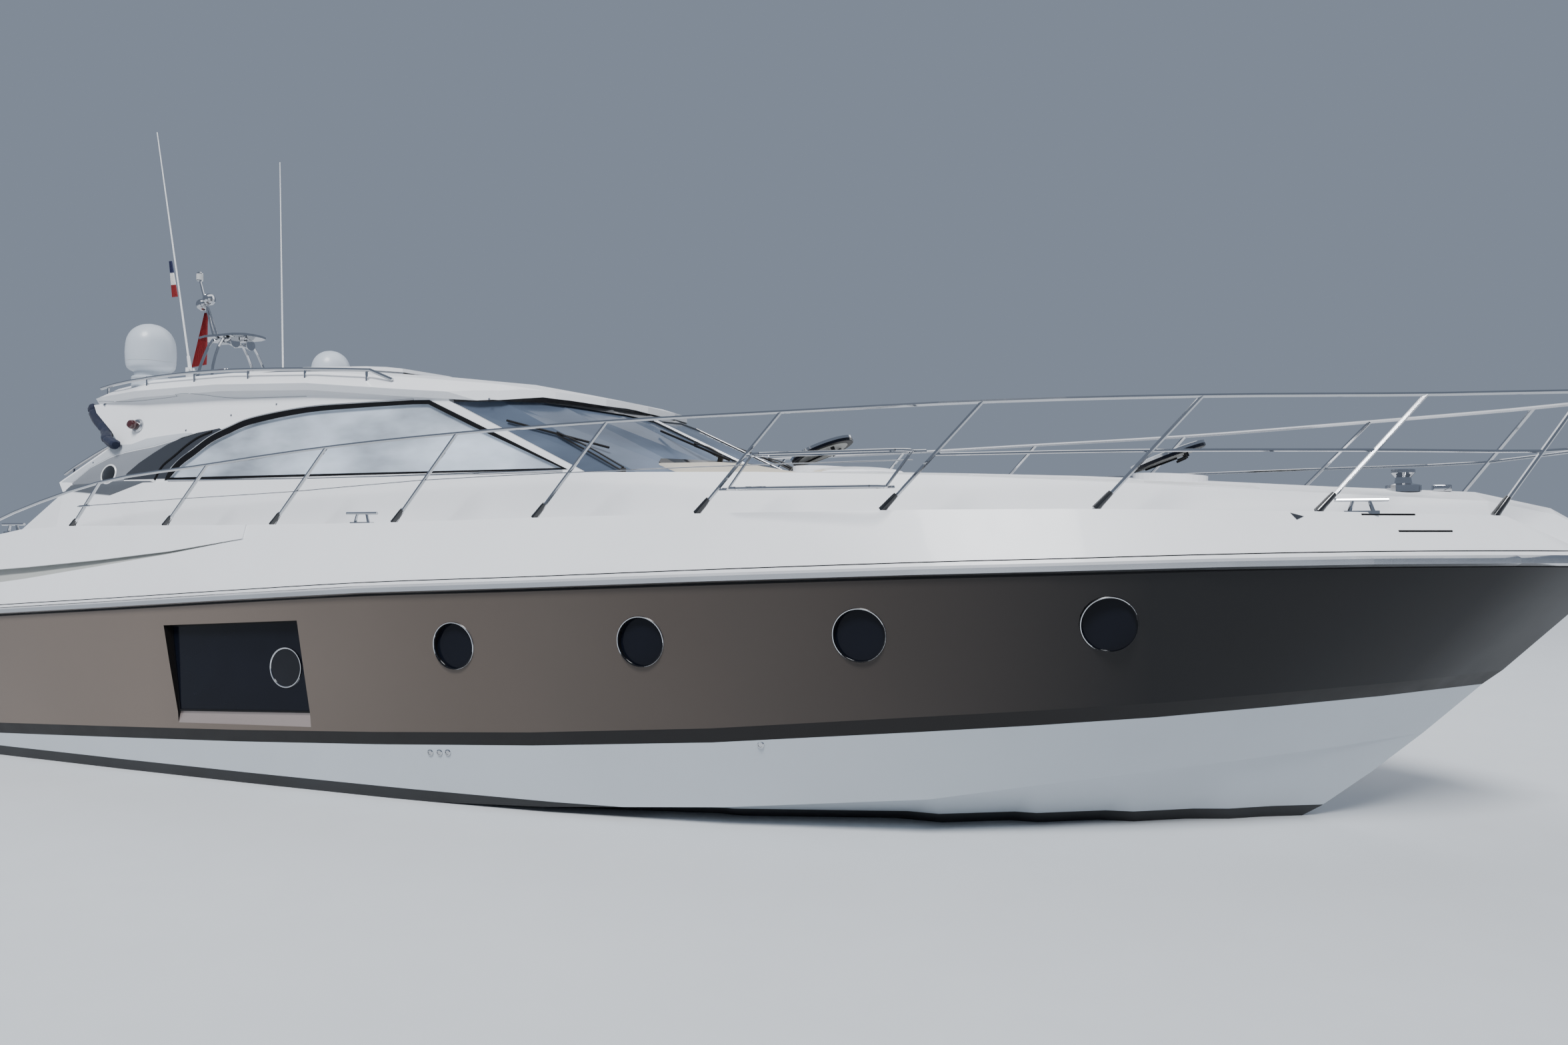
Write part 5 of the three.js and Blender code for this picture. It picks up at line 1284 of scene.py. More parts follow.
@dataclass
class Windscreen:
    """Strips and wipers of the windscreen.

    Attributes:
        wipers: For each wiper its pivot, bend and tip, to starboard.
    """

    wipers: tuple[tuple[Point, Point, Point], ...] = (
        ((0.930, -1.455, 2.700), (0.247, -1.372, 3.023), (-0.249, -1.382, 3.154)),
        ((1.560, -0.900, 2.830), (1.300, -0.880, 2.935), (0.930, -0.780, 3.080)),
    )

    def build(self) -> None:
        """Makes the pieces on the windscreen."""
        frame_skin = Skin("windscreen_frame")
        for name, side in SIDES:
            for gap in (-0.018, 0.018):
                line = []
                for step in range(17):
                    x = 1.640 - step * 0.059
                    line.append(frame_skin.down(x, side * (0.5 + gap)) + Vector((0.001, 0.0, 0.003)))
                tube(f"screen_strip_{'inner' if gap < 0 else 'outer'}_{name}", line, 0.007, SATIN, 8, steps=1)
            for number, points in enumerate(self.wipers, start=1):
                self.wiper(f"{number}_{name}", [Vector((x, side * -y, z)) for x, y, z in points], side)
        LOG.info("windscreen ready")

    @staticmethod
    def wiper(name: str, points: list[Vector], side: float) -> None:
        """Makes one wiper: pivot, twin arms and blade.

        Args:
            name: Number and side of the wiper.
            points: Its pivot, the blade's middle and the blade's upper end.
            side: 1 to port and -1 to starboard.
        """
        pivot, middle, tip = points
        normal = Vector((0.45, side * 0.55, 0.75)).normalized()
        lower = middle - (tip - middle)
        blade = [lower.lerp(tip, share / 6.0) + normal * 0.030 for share in range(7)]
        tube(f"wiper_blade_{name}", blade, 0.010, RUBBER, 8, steps=1)
        for part, shift in (("upper", 0.018), ("lower", -0.018)):
            offset = Vector((0.0, 0.0, shift))
            tube(f"wiper_arm_{part}_{name}", [pivot + offset + normal * 0.030,
                                              pivot.lerp(middle, 0.5) + offset + normal * 0.045,
                                              middle + offset * 0.6 + normal * 0.036], 0.007, BLACK, 8)
        turned(f"wiper_pivot_{name}", [(0.0, -0.03), (0.024, -0.03), (0.024, 0.035), (0.0, 0.045)], pivot,
               normal, BLACK, 16)


@dataclass
class RoofFittings:
    """Painted crease shade, dome seams, runners, domes and lens of the roof.

    Attributes:
        seam: Line along the roof's side where a thin grey tube paints the shade of a moulded crease.
        dome_places: Place of each dome.
        dome_radius: Its largest radius.
    """

    seam: Table = (
        (-5.270, 3.570), (-4.840, 3.549), (-4.346, 3.563), (-3.914, 3.579), (-3.384, 3.518), (-2.488, 3.493))
    dome_places: Table = ((-4.790, -1.160, 3.830), (-4.660, 1.160, 3.940))
    dome_radius: float = 0.230

    def build(self) -> None:
        """Makes the pieces on the roof."""
        roof = Skin("hardtop")
        shell = Skin("hardtop", "cabin_side_starboard", "cabin_side_port")
        for name, side in SIDES:
            # Painted shade: a thin grey tube along the moulded crease of the roof's side.
            line = shell.traced(self.seam, 0.0, 5, side)
            sweep(f"roof_crease_shade_{name}", line, 0.0025, MID_GREY, 6, slot=Slot.DARK_PLASTIC)
        for (x, y, z), (name, _) in zip(self.dome_places, SIDES):
            self.dome(name, x, y, z + 0.060)
            for part, radius, up in (("foot", 0.172, -0.030), ("lower", 0.2255, 0.148)):
                ring = [(x + radius * math.cos(a), y + radius * math.sin(a), z + up)
                        for a in (2.0 * math.pi * step / 40 for step in range(40))]
                sweep(f"dome_seam_{part}_{name}", ring, 0.003, LIGHT_GREY, 6,
                      closed=True, slot=Slot.DARK_PLASTIC)
        self.panel_runners(roof)
        self.mast_lens()
        LOG.info("roof fittings ready")

    def dome(self, name: str, x: float, y: float, z: float) -> None:
        """Turns one dome with its foot.

        Args:
            name: Its side.
            x: Its axis along the boat.
            y: Its axis across the boat.
            z: Height of its body's lower edge.
        """
        low = min(corner.co.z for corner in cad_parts[f"dome_{name}"].data.vertices) - z
        shell = [(point.x, point.z) for point in smooth_line(
            [(0.188, 0.0, 0.0), (0.216, 0.0, 0.030), (0.226, 0.0, 0.090), (self.dome_radius, 0.0, 0.200),
             (0.217, 0.0, 0.320), (0.172, 0.0, 0.410), (0.100, 0.0, 0.467), (0.030, 0.0, 0.488)], 5)]
        profile = [(0.0, low), (0.172, low), (0.172, -0.072), (0.165, -0.065), (0.150, -0.065),
                   (0.150, -0.018), *shell, (0.0, 0.490)]
        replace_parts(turned(f"dome_shell_{name}", profile, (x, y, z), UP, DOME_WHITE, 56), f"dome_{name}")

    @staticmethod
    def panel_runners(roof: Skin) -> None:
        """Makes the runners that the sliding panel runs along.

        Args:
            roof: The roof's surface.
        """
        for name, side in SIDES:
            line = [roof.down(-5.1 + step * 0.2, side * 0.760) + UP * 0.004 for step in range(17)]
            tube(f"panel_runner_{name}", line, 0.012, SATIN, 8, steps=1)

    @staticmethod
    def mast_lens() -> None:
        """Makes the lens of the mast's lamp."""
        turned("mast_lens", [(0.0355, 0.010), (0.0355, 0.080), (0.037, 0.080), (0.037, 0.010)],
               (-5.500, 0.0, 5.170), UP, CLEAR_LENS, 24)


@dataclass
class DeckFittings:
    """Wires, boots, anti-slip panels, caps and hatch fittings of the deck.

    Attributes:
        posts: Foot's x, head's x and head's height of each stanchion.
        wire: Points of the life line, to port.
        tread_height: Thickness of the anti-slip panels.
        capping: Half the width of the gunwale's flat top.
        nose: Where the pulpit's nose starts, and how far off the centreline heads of posts ahead of it stand.
    """

    posts: Table = (
        (-4.820, -4.430, 2.685), (-3.550, -3.010, 2.816), (-2.230, -1.620, 2.932), (-0.900, -0.270, 3.005),
        (0.460, 1.100, 3.050), (1.840, 2.490, 3.073), (3.220, 3.910, 3.103), (4.640, 5.320, 3.118),
        (6.040, 6.750, 3.140), (7.200, 7.780, 3.165))
    wire: Table = (
        (-4.731, 1.955, 2.457), (-3.396, 1.985, 2.513), (-1.969, 2.020, 2.560), (-0.626, 2.030, 2.632),
        (0.723, 2.030, 2.666), (2.020, 2.010, 2.690), (3.440, 1.880, 2.710))
    tread_height: float = 0.003
    capping: float = 0.0425
    nose: Flat = (7.5, 0.42)

    def build(self) -> None:
        """Makes the pieces on deck."""
        deck = Skin("deck_moulding")
        for name, side in SIDES:
            line = [(x, side * y, z) for x, y, z in self.wire]
            tube(f"life_line_{name}", line, 0.004, STEEL, 6, steps=2)
            first, second = Vector(line[0]), Vector(line[1])
            ahead = (second - first).normalized()
            tube(f"rigging_screw_{name}", [first + ahead * 0.03, first + ahead * 0.17], 0.010, STEEL, 10)
            self.tread_strips(name, side, deck)
            for number, (foot_x, head_x, head_z) in enumerate(self.posts, start=1):
                self.boot(f"post_boot_{number}_{name}", foot_x, head_x, head_z, side)
            for number, (x, y) in enumerate(((-5.15, 1.80), (-2.95, 1.86)), start=1):
                place = deck.down(x, side * y)
                turned(f"filler_cap_{number}_{name}", [(0.0, -0.004), (0.055, -0.004), (0.055, 0.004),
                                                       (0.048, 0.008), (0.0, 0.008)], place, UP,
                       STEEL, 28)
        self.fore_deck(deck)
        for place in ("aft", "forward"):
            self.lid(place)
        LOG.info("deck fittings ready")

    def boot(self, name: str, foot_x: float, head_x: float, head_z: float, side: float) -> None:
        """Makes the dark boot at one stanchion's foot.

        Args:
            name: The boot's name.
            foot_x: Where the stanchion's foot is.
            head_x: Where its head is.
            head_z: Its head's height.
            side: 1 to port and -1 to starboard.
        """
        nose_x, nose_y = self.nose

        def on_top(x: float) -> Vector:
            """Returns the middle of the gunwale's flat top at x."""
            y, z = row_at(Fairing.deck, x)[:2]
            return Vector((x, side * (y - self.capping * min(1.0, y / 0.8)), z))

        foot, beyond = on_top(foot_x), on_top(min(head_x, nose_x))
        head = Vector((head_x, side * max(abs(beyond.y), nose_y if head_x > nose_x else 0.0), head_z))
        line = [foot.lerp(head, share) for share in (0.0, 0.05, 0.12, 0.15)]
        sweep(name, line, lambda share, angle: 0.0275 - 0.009 * share, GLOSS_BLACK, 14)

    @staticmethod
    def lid(place: str) -> None:
        """Makes gasket, lining, rim, catches, handles and stay of one hatch lid.

        Args:
            place: Which lid, aft or forward.
        """
        body = f"hatch_lid_{place}"
        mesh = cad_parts[body].data
        widest = max(mesh.polygons, key=lambda face: face.area)
        up = widest.normal if widest.normal.z > 0 else -widest.normal
        middle = sum((vertex.co for vertex in mesh.vertices), Vector()) / len(mesh.vertices)
        ahead = Vector((up.z, 0.0, -up.x))
        under = middle - up * 0.0225
        turned(f"{body}_gasket", [(0.236, -0.003), (0.292, -0.003), (0.294, 0.0), (0.236, 0.0)], under, up,
               RUBBER, 48, body=body)
        turned(f"{body}_lining", disc(0.238, -0.006, 0.0), under, up,
               LINING, 48, body=body)
        turned(f"{body}_rim", [(0.292, 0.022), (0.302, 0.022), (0.302, 0.046), (0.292, 0.049), (0.284, 0.046),
                               (0.284, 0.0455)], under, up, STEEL, 48, body=body)
        for name, side in SIDES:
            root = under + ahead * 0.130 + Vector((0.0, side * 0.110, 0.0)) - up * 0.006
            turned(f"{body}_catch_{name}", [(0.0, -0.034), (0.017, -0.034), (0.019, 0.0), (0.0, 0.0)], root,
                   up, BLACK, 16, body=body)
            tube(f"{body}_handle_{name}", [root - up * 0.030, root - up * 0.034 - ahead * 0.080], 0.009,
                 BLACK, 8, body=body)
        tube(f"{body}_stay", [under - ahead * 0.200 - up * 0.016, under + ahead * 0.060 - up * 0.016], 0.008,
             BLACK, 8, body=body)

    @staticmethod
    def tread_strips(name: str, side: float, deck: Skin) -> None:
        """Makes the anti-slip panels of one side deck.

        Args:
            name: The side's name.
            side: 1 to port and -1 to starboard.
            deck: The deck's surface.
        """
        strips = ((-4.7, -3.2), (-3.1, -1.6), (-1.0, 0.5), (0.6, 2.1), (2.2, 3.7), (3.8, 5.2))
        rows = ((-5.0, 1.70, 1.88), (-2.5, 1.71, 1.93), (0.5, 1.68, 1.94), (2.0, 1.60, 1.91),
                (3.5, 1.49, 1.80), (4.44, 1.34, 1.64), (5.38, 1.13, 1.40))
        for number, (x0, x1) in enumerate(strips, start=1):
            lines = []
            for step in range(7):
                x = x0 + (x1 - x0) * step / 6.0
                lines.append([(x, side * y) for y in row_at(rows, x)])
            DeckFittings.laid(f"tread_{number}_{name}", lines, deck)

    @staticmethod
    def laid(name: str, lines: list[Line], deck: Skin) -> None:
        """Lays an anti-slip panel on the deck.

        Args:
            name: The panel's name.
            lines: Its two edges' points for each station along it.
            deck: The deck's surface.
        """
        up = UP * DeckFittings.tread_height
        shape = bmesh.new()
        made = bmesh.ops.create_grid(shape, x_segments=len(lines) - 1, y_segments=6, size=0.5)["verts"]
        for corner in made:
            station = lines[round((corner.co.x + 0.5) * (len(lines) - 1))]
            share = corner.co.y + 0.5
            x, y = (station[0][k] + (station[1][k] - station[0][k]) * share for k in (0, 1))
            corner.co = deck.down(x, y) + up
        raise_faces(shape, shape.faces[:], Vector((0.0, 0.0, -DeckFittings.tread_height - 0.002)))
        fitted(name, shape, TREAD)

    def fore_deck(self, deck: Skin) -> None:
        """Makes the foredeck's panels and its chain stopper.

        Args:
            deck: The deck's surface.
        """
        for name, side in SIDES:
            for number, (x0, x1, y0, y1) in enumerate(((2.50, 3.60, 0.52, 1.05), (3.70, 4.80, 0.42, 0.90),
                                                      (4.95, 5.75, 0.38, 0.72)), start=1):
                lines = [[(x0 + (x1 - x0) * step / 6.0, side * (y0 - 0.03 * step / 6.0)),
                          (x0 + (x1 - x0) * step / 6.0, side * (y1 - (y1 - y0) * 0.25 * step / 6.0))]
                         for step in range(7)]
                self.laid(f"fore_tread_{number}_{name}", lines, deck)
        foot = deck.down(7.050, 0.0)
        block("chain_stopper", foot + Vector((-0.06, -0.035, -0.005)), foot + Vector((0.06, 0.035, 0.045)),
              STEEL, 0.008)


@dataclass(frozen=True)
class CushionForm:
    """Size of a cushion before it is blown up, lying flat.

    Attributes:
        name: The form's name.
        length: Its length along X.
        width: Its width along Y.
        height: Its thickness.
        channels: Share of the length at which each sewn channel crosses it.
    """

    name: str
    length: float
    width: float
    height: float
    channels: tuple[float, ...] = ()


SEAT = CushionForm("seat", 0.60, 0.42, 0.115, (0.333, 0.667))
BACK = CushionForm("back", 0.60, 0.42, 0.085, (0.333, 0.667))
SUN = CushionForm("sun", 0.83, 0.63, 0.080, (0.25, 0.5, 0.75))


@dataclass
class Cushions:
    """Cushions of helm, saloon and aft deck, blown up like stuffed cloth.

    Attributes:
        voxel: Edge of the remeshed cells.
        cap: How far a point may move when the cushion fills.
        frames: Steps of the filling.
        swell: Share of the cap that a form grows by at each side as it fills.
        seam_height: Share of a cushion's height at which its piping runs.
        seam_points: Points of the piping.
        channel: Depth and width of the sewn channels.
        made: Filled meshes by form.
    """

    voxel: float = 0.012
    cap: float = 0.014
    frames: int = 20
    swell: float = 0.6
    seam_height: float = 0.72
    seam_points: int = 72
    channel: Flat = (0.010, 0.012)
    made: dict[str, bpy.types.Mesh] = field(default_factory=dict)

    def build(self) -> None:
        """Makes bases, cushions and piping in place of the plain seats."""
        for form in (SEAT, BACK, SUN):
            self.made[form.name] = self.filled(form)
        self.settee()
        self.helm()
        self.sun_pad()
        LOG.info("cushions ready")

    def filled(self, form: CushionForm) -> bpy.types.Mesh:
        """Makes the filled mesh of a form, with its lower middle at the origin.

        Args:
            form: The form.

        Returns:
            The mesh.
        """
        low = (-form.length / 2.0, -form.width / 2.0, 0.0)
        high = (form.length / 2.0, form.width / 2.0, form.height)
        body = piece_of(form.name + "_form", block_shape(low, high, min(0.03, form.height * 0.3)), VINYL)
        remesh = body.modifiers.new("remesh", "REMESH")
        remesh.mode = "VOXEL"
        remesh.voxel_size = self.voxel
        self.bake(body)
        flat = [vertex.co.copy() for vertex in body.data.vertices]
        deep, wide = self.channel
        self.blow_up(body)
        for vertex, rest in zip(body.data.vertices, flat):
            move = vertex.co - rest
            if move.length > self.cap:
                move *= self.cap / move.length
            vertex.co = rest + move
            vertex.co.z = max(0.0, vertex.co.z)
            for share in form.channels:
                gap = vertex.co.x - form.length * (share - 0.5)
                if rest.z > form.height * 0.6:
                    vertex.co.z -= deep * math.exp(-(gap / wide) ** 2)
        smooth = body.modifiers.new("subdivide", "SUBSURF")
        smooth.levels = 1
        self.bake(body)
        mesh = body.data
        mesh.shade_smooth()
        mesh.use_fake_user = True
        bpy.data.objects.remove(body)
        return mesh

    def blow_up(self, body: Piece) -> None:
        """Fills a body with cloth pressure and keeps the result.

        Args:
            body: The body.
        """
        cloth = body.modifiers.new("cloth", "CLOTH")
        cloth.settings.use_pressure = True
        cloth.settings.uniform_pressure_force = 4.0
        cloth.settings.effector_weights.gravity = 0.0
        cloth.point_cache.frame_start = 1
        cloth.point_cache.frame_end = self.frames
        for step in range(1, self.frames + 1):
            bpy.context.scene.frame_set(step)
        self.bake(body)
        bpy.context.scene.frame_set(1)

    @staticmethod
    def bake(body: Piece) -> None:
        """Turns a body's modifiers into its mesh.

        Args:
            body: The object.
        """
        mesh = bpy.data.meshes.new_from_object(body.evaluated_get(bpy.context.evaluated_depsgraph_get()))
        body.modifiers.clear()
        body.data = mesh

    def lay(self, name: str, form: CushionForm, place: Matrix, size: Point, instead: str,
            lay_on: Skin | None = None) -> None:
        """Places a filled cushion, stretched to a size, with its piping.

        Args:
            name: The cushion's name.
            form: Its form.
            place: Its place and turn.
            size: Its length, width and height in metres.
            instead: Node that it stands for.
            lay_on: Surface that it lies on, where it follows one.
        """
        mesh = self.made[form.name].copy()
        swell = self.cap * self.swell
        own = (form.length + 2 * swell, form.width + 2 * swell, form.height + swell)
        mesh.transform(place @ Matrix.Diagonal((*(a / b for a, b in zip(size, own)), 1.0)))
        tree = BVHTree.FromPolygons([vertex.co for vertex in mesh.vertices],
                                    [tuple(f.vertices) for f in mesh.polygons])
        seam = []
        height = size[2] * self.seam_height
        for step in range(self.seam_points):
            angle = 2.0 * math.pi * step / self.seam_points
            start = place @ Vector((size[0] * math.cos(angle), size[1] * math.sin(angle), height))
            inwards = place @ Vector((0.0, 0.0, height)) - start
            hit = tree.ray_cast(start, inwards)[0]
            if hit is not None:
                seam.append(hit)
        if lay_on:
            for vertex in mesh.vertices:
                vertex.co.z += lay_on.down(vertex.co.x, vertex.co.y).z
            for point in seam:
                point.z += lay_on.down(point.x, point.y).z
        mesh.materials.clear()
        mesh.materials.append(VINYL.build())
        cushion = bpy.data.objects.new(name, mesh)
        bpy.context.scene.collection.objects.link(cushion)
        fit(cushion, Slot.CUSHION)
        sweep(f"{name}_piping", seam, 0.004, PIPING, 6, closed=True)
        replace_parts(cushion, instead)

    def settee(self) -> None:
        """Makes the settee to port of the saloon and its bases."""
        bases = (((-4.000, 0.800, 1.451), (-1.500, 1.360, 1.745)),
                 ((-4.560, 0.150, 1.451), (-4.004, 1.360, 1.745)),
                 ((-4.000, 1.330, 1.745), (-1.500, 1.360, 2.320)),
                 ((-4.560, 0.150, 1.745), (-4.535, 1.360, 2.320)))
        for number, (low, high) in enumerate(bases, start=1):
            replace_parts(block(f"settee_base_{number}", low, high, WHITE, 0.008), "settee")
        for number in range(4):
            x = -3.685 + number * 0.622
            flat = Matrix.Translation((x, 1.012, 1.746))
            self.lay(f"settee_seat_{number + 1}", SEAT, flat, (0.61, 0.415, 0.13), "settee")
            upright = Matrix.Translation((x, 1.328, 2.095)) @ turn_about("X", 90.0)
            self.lay(f"settee_back_{number + 1}", BACK, upright, (0.61, 0.43, 0.095), "settee")
        for number in range(2):
            y = 0.430 + number * 0.560
            flat = Matrix.Translation((-4.225, y, 1.746)) @ turn_about("Z", 90.0)
            self.lay(f"settee_end_seat_{number + 1}", SEAT, flat, (0.55, 0.415, 0.13), "settee")
            upright = Matrix.Translation((-4.533, y, 2.095)) @ turn_about("Y", 90.0) @ turn_about("Z", 90.0)
            self.lay(f"settee_end_back_{number + 1}", BACK, upright, (0.55, 0.43, 0.095), "settee")

    def helm(self) -> None:
        """Makes the double seat at the helm."""
        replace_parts(block("helm_seat_base", (-1.240, -1.180, 1.451), (-0.860, -0.370, 1.875), WHITE, 0.02),
                    "helm_seat")
        for number in range(2):
            y = -0.990 + number * 0.425
            flat = Matrix.Translation((-0.985, y, 1.878)) @ turn_about("Z", 90.0)
            self.lay(f"helm_seat_{number + 1}", SEAT, flat, (0.415, 0.47, 0.13), "helm_seat")
            lean = Matrix.Translation((-1.330, y, 2.330)) @ turn_about("Y", 81.0) @ turn_about("Z", 90.0)
            self.lay(f"helm_back_{number + 1}", BACK, lean, (0.415, 0.52, 0.10), "helm_seat")

    def sun_pad(self) -> None:
        """Makes the three cushions that lie on the aft deck."""
        deck = Skin("deck_moulding")
        for number in range(3):
            flat = Matrix.Translation((-6.515, -1.002 + number * 0.656, 0.008))
            self.lay(f"sun_cushion_{number + 1}", SUN, flat, (0.84, 0.648, 0.095), "sunpad", deck)


@dataclass(frozen=True)
class Bunting:
    """A cloth that hangs in upright folds.

    Attributes:
        name: The cloth's name.
        size: Its width and length before it was hung.
        place: Middle of its head.
        lean: How far its foot stands ahead of its head.
        opening: How wide its head stands open, and how much wider its foot does.
        folds: Half folds across it.
        twist: How far the folds shift down to its foot, in radians.
        shrink: Share of its length that is left, and what the fly loses of that.
        finishes: Finishes of its bands, from the top down.
        rests_on: Node that it hangs from; not used.
    """

    name: str
    size: Flat
    place: Point
    lean: float
    opening: Flat
    folds: float
    twist: float
    shrink: Flat
    finishes: tuple[Finish, ...]
    rests_on: str

    def at(self, across: float, down: float) -> Point:
        """Places a point of the cloth.

        Args:
            across: Share of the width, from 0 to 1.
            down: Share of the length.

        Returns:
            The point.
        """
        width, length = self.size
        x, y, z = self.place
        share = self.opening[0] + self.opening[1] * down
        depth = math.sqrt(max(0.0, 1.0 - share ** 2)) * width / (2.0 * self.folds)
        wave = math.sin(self.folds * math.pi * across + self.twist * down)
        sunk = length * down * (self.shrink[0] - self.shrink[1] * across)
        return (x + self.lean * down + width * share * (across - 0.5), y + depth * wave, z - sunk)

    def build(self) -> Piece:
        """Makes the cloth.

        Returns:
            The cloth.
        """
        shape = bmesh.new()
        for corner in bmesh.ops.create_grid(shape, x_segments=72, y_segments=36, size=0.5)["verts"]:
            corner.co = self.at(corner.co.x + 0.5, 0.5 - corner.co.y)
        piece = piece_of(self.name, shape, self.finishes[0])
        for finish in self.finishes[1:]:
            piece.data.materials.append(finish.build())
        heights = [vertex.co.z for vertex in piece.data.vertices]
        for face in piece.data.polygons:
            share = (max(heights) - face.center.z) / (max(heights) - min(heights))
            face.material_index = min(len(self.finishes) - 1, int(share * len(self.finishes)))
        fit(piece, Slot.CANVAS)
        return piece


ENSIGN = Bunting("ensign", (0.46, 0.64), (-5.432, 0.032, 4.795), -0.115, (0.10, 0.40), 22.0, 2.0,
                 (0.985, 0.03), (RED_CLOTH,), "mast")
PENNANT = Bunting("pennant", (0.24, 0.40), (-5.140, -0.665, 5.200), 0.070, (0.16, 0.22), 14.0, 0.0,
                  (1.0, 0.0), (BLUE_CLOTH, WHITE_CLOTH, RED_CLOTH), "aerial_starboard")


@dataclass
class Canvas:
    """Rolled side screens at the pillars, the ensign and the small pennant.

    Attributes:
        roll: Middle line of one roll, to port.
        roll_radius: Radius of the roll.
        straps: Share of the roll at which each strap holds it.
    """

    roll: Table = (
        (-5.406, 1.330, 3.531), (-5.314, 1.355, 3.407), (-5.090, 1.405, 3.235), (-4.960, 1.497, 3.155),
        (-4.790, 1.530, 3.085))
    roll_radius: float = 0.050
    straps: tuple[float, ...] = (0.12, 0.45, 0.78)

    def build(self) -> None:
        """Makes the canvas pieces."""
        for name, side in SIDES:
            self.rolled(name, side)
        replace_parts(ENSIGN.build(), "flag")
        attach(PENNANT.build(), "aerial_starboard")
        LOG.info("canvas ready")

    def rolled(self, name: str, side: float) -> None:
        """Makes one rolled screen, creased and strapped.

        Args:
            name: The side's name.
            side: 1 to port and -1 to starboard.
        """
        line = smooth_line([(x, side * y, z) for x, y, z in self.roll], 16)

        def reach(share: float, angle: float) -> float:
            """Gives the roll's radius with its creases and straps.

            Args:
                share: Share of the way along the roll.
                angle: Angle around it.

            Returns:
                The radius.
            """
            folds = 0.07 * math.sin(3.0 * angle + 5.0 * share) + 0.035 * math.sin(7.0 * angle - 11.0 * share)
            creases = 0.03 * math.sin(31.0 * share + 2.0 * angle)
            straps = sum(0.20 * math.exp(-((share - at) / 0.018) ** 2) for at in self.straps)
            taper = min(1.0, 0.75 + 9.0 * share, 0.75 + 9.0 * (1.0 - share))
            return self.roll_radius * taper * (1.0 + folds + creases - straps)

        roll = sweep(f"screen_roll_{name}", line, reach, NAVY, 44)
        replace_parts(roll, f"canvas_roll_{name}")
        for number, at in enumerate(self.straps, start=1):
            index = round(at * (len(line) - 1))
            ahead = (line[index + 1] - line[index]).normalized()
            turned(f"roll_strap_{number}_{name}", [(0.034, -0.010), (0.041, -0.010), (0.041, 0.010),
                                                   (0.034, 0.010)], line[index], ahead, NAVY, 24)


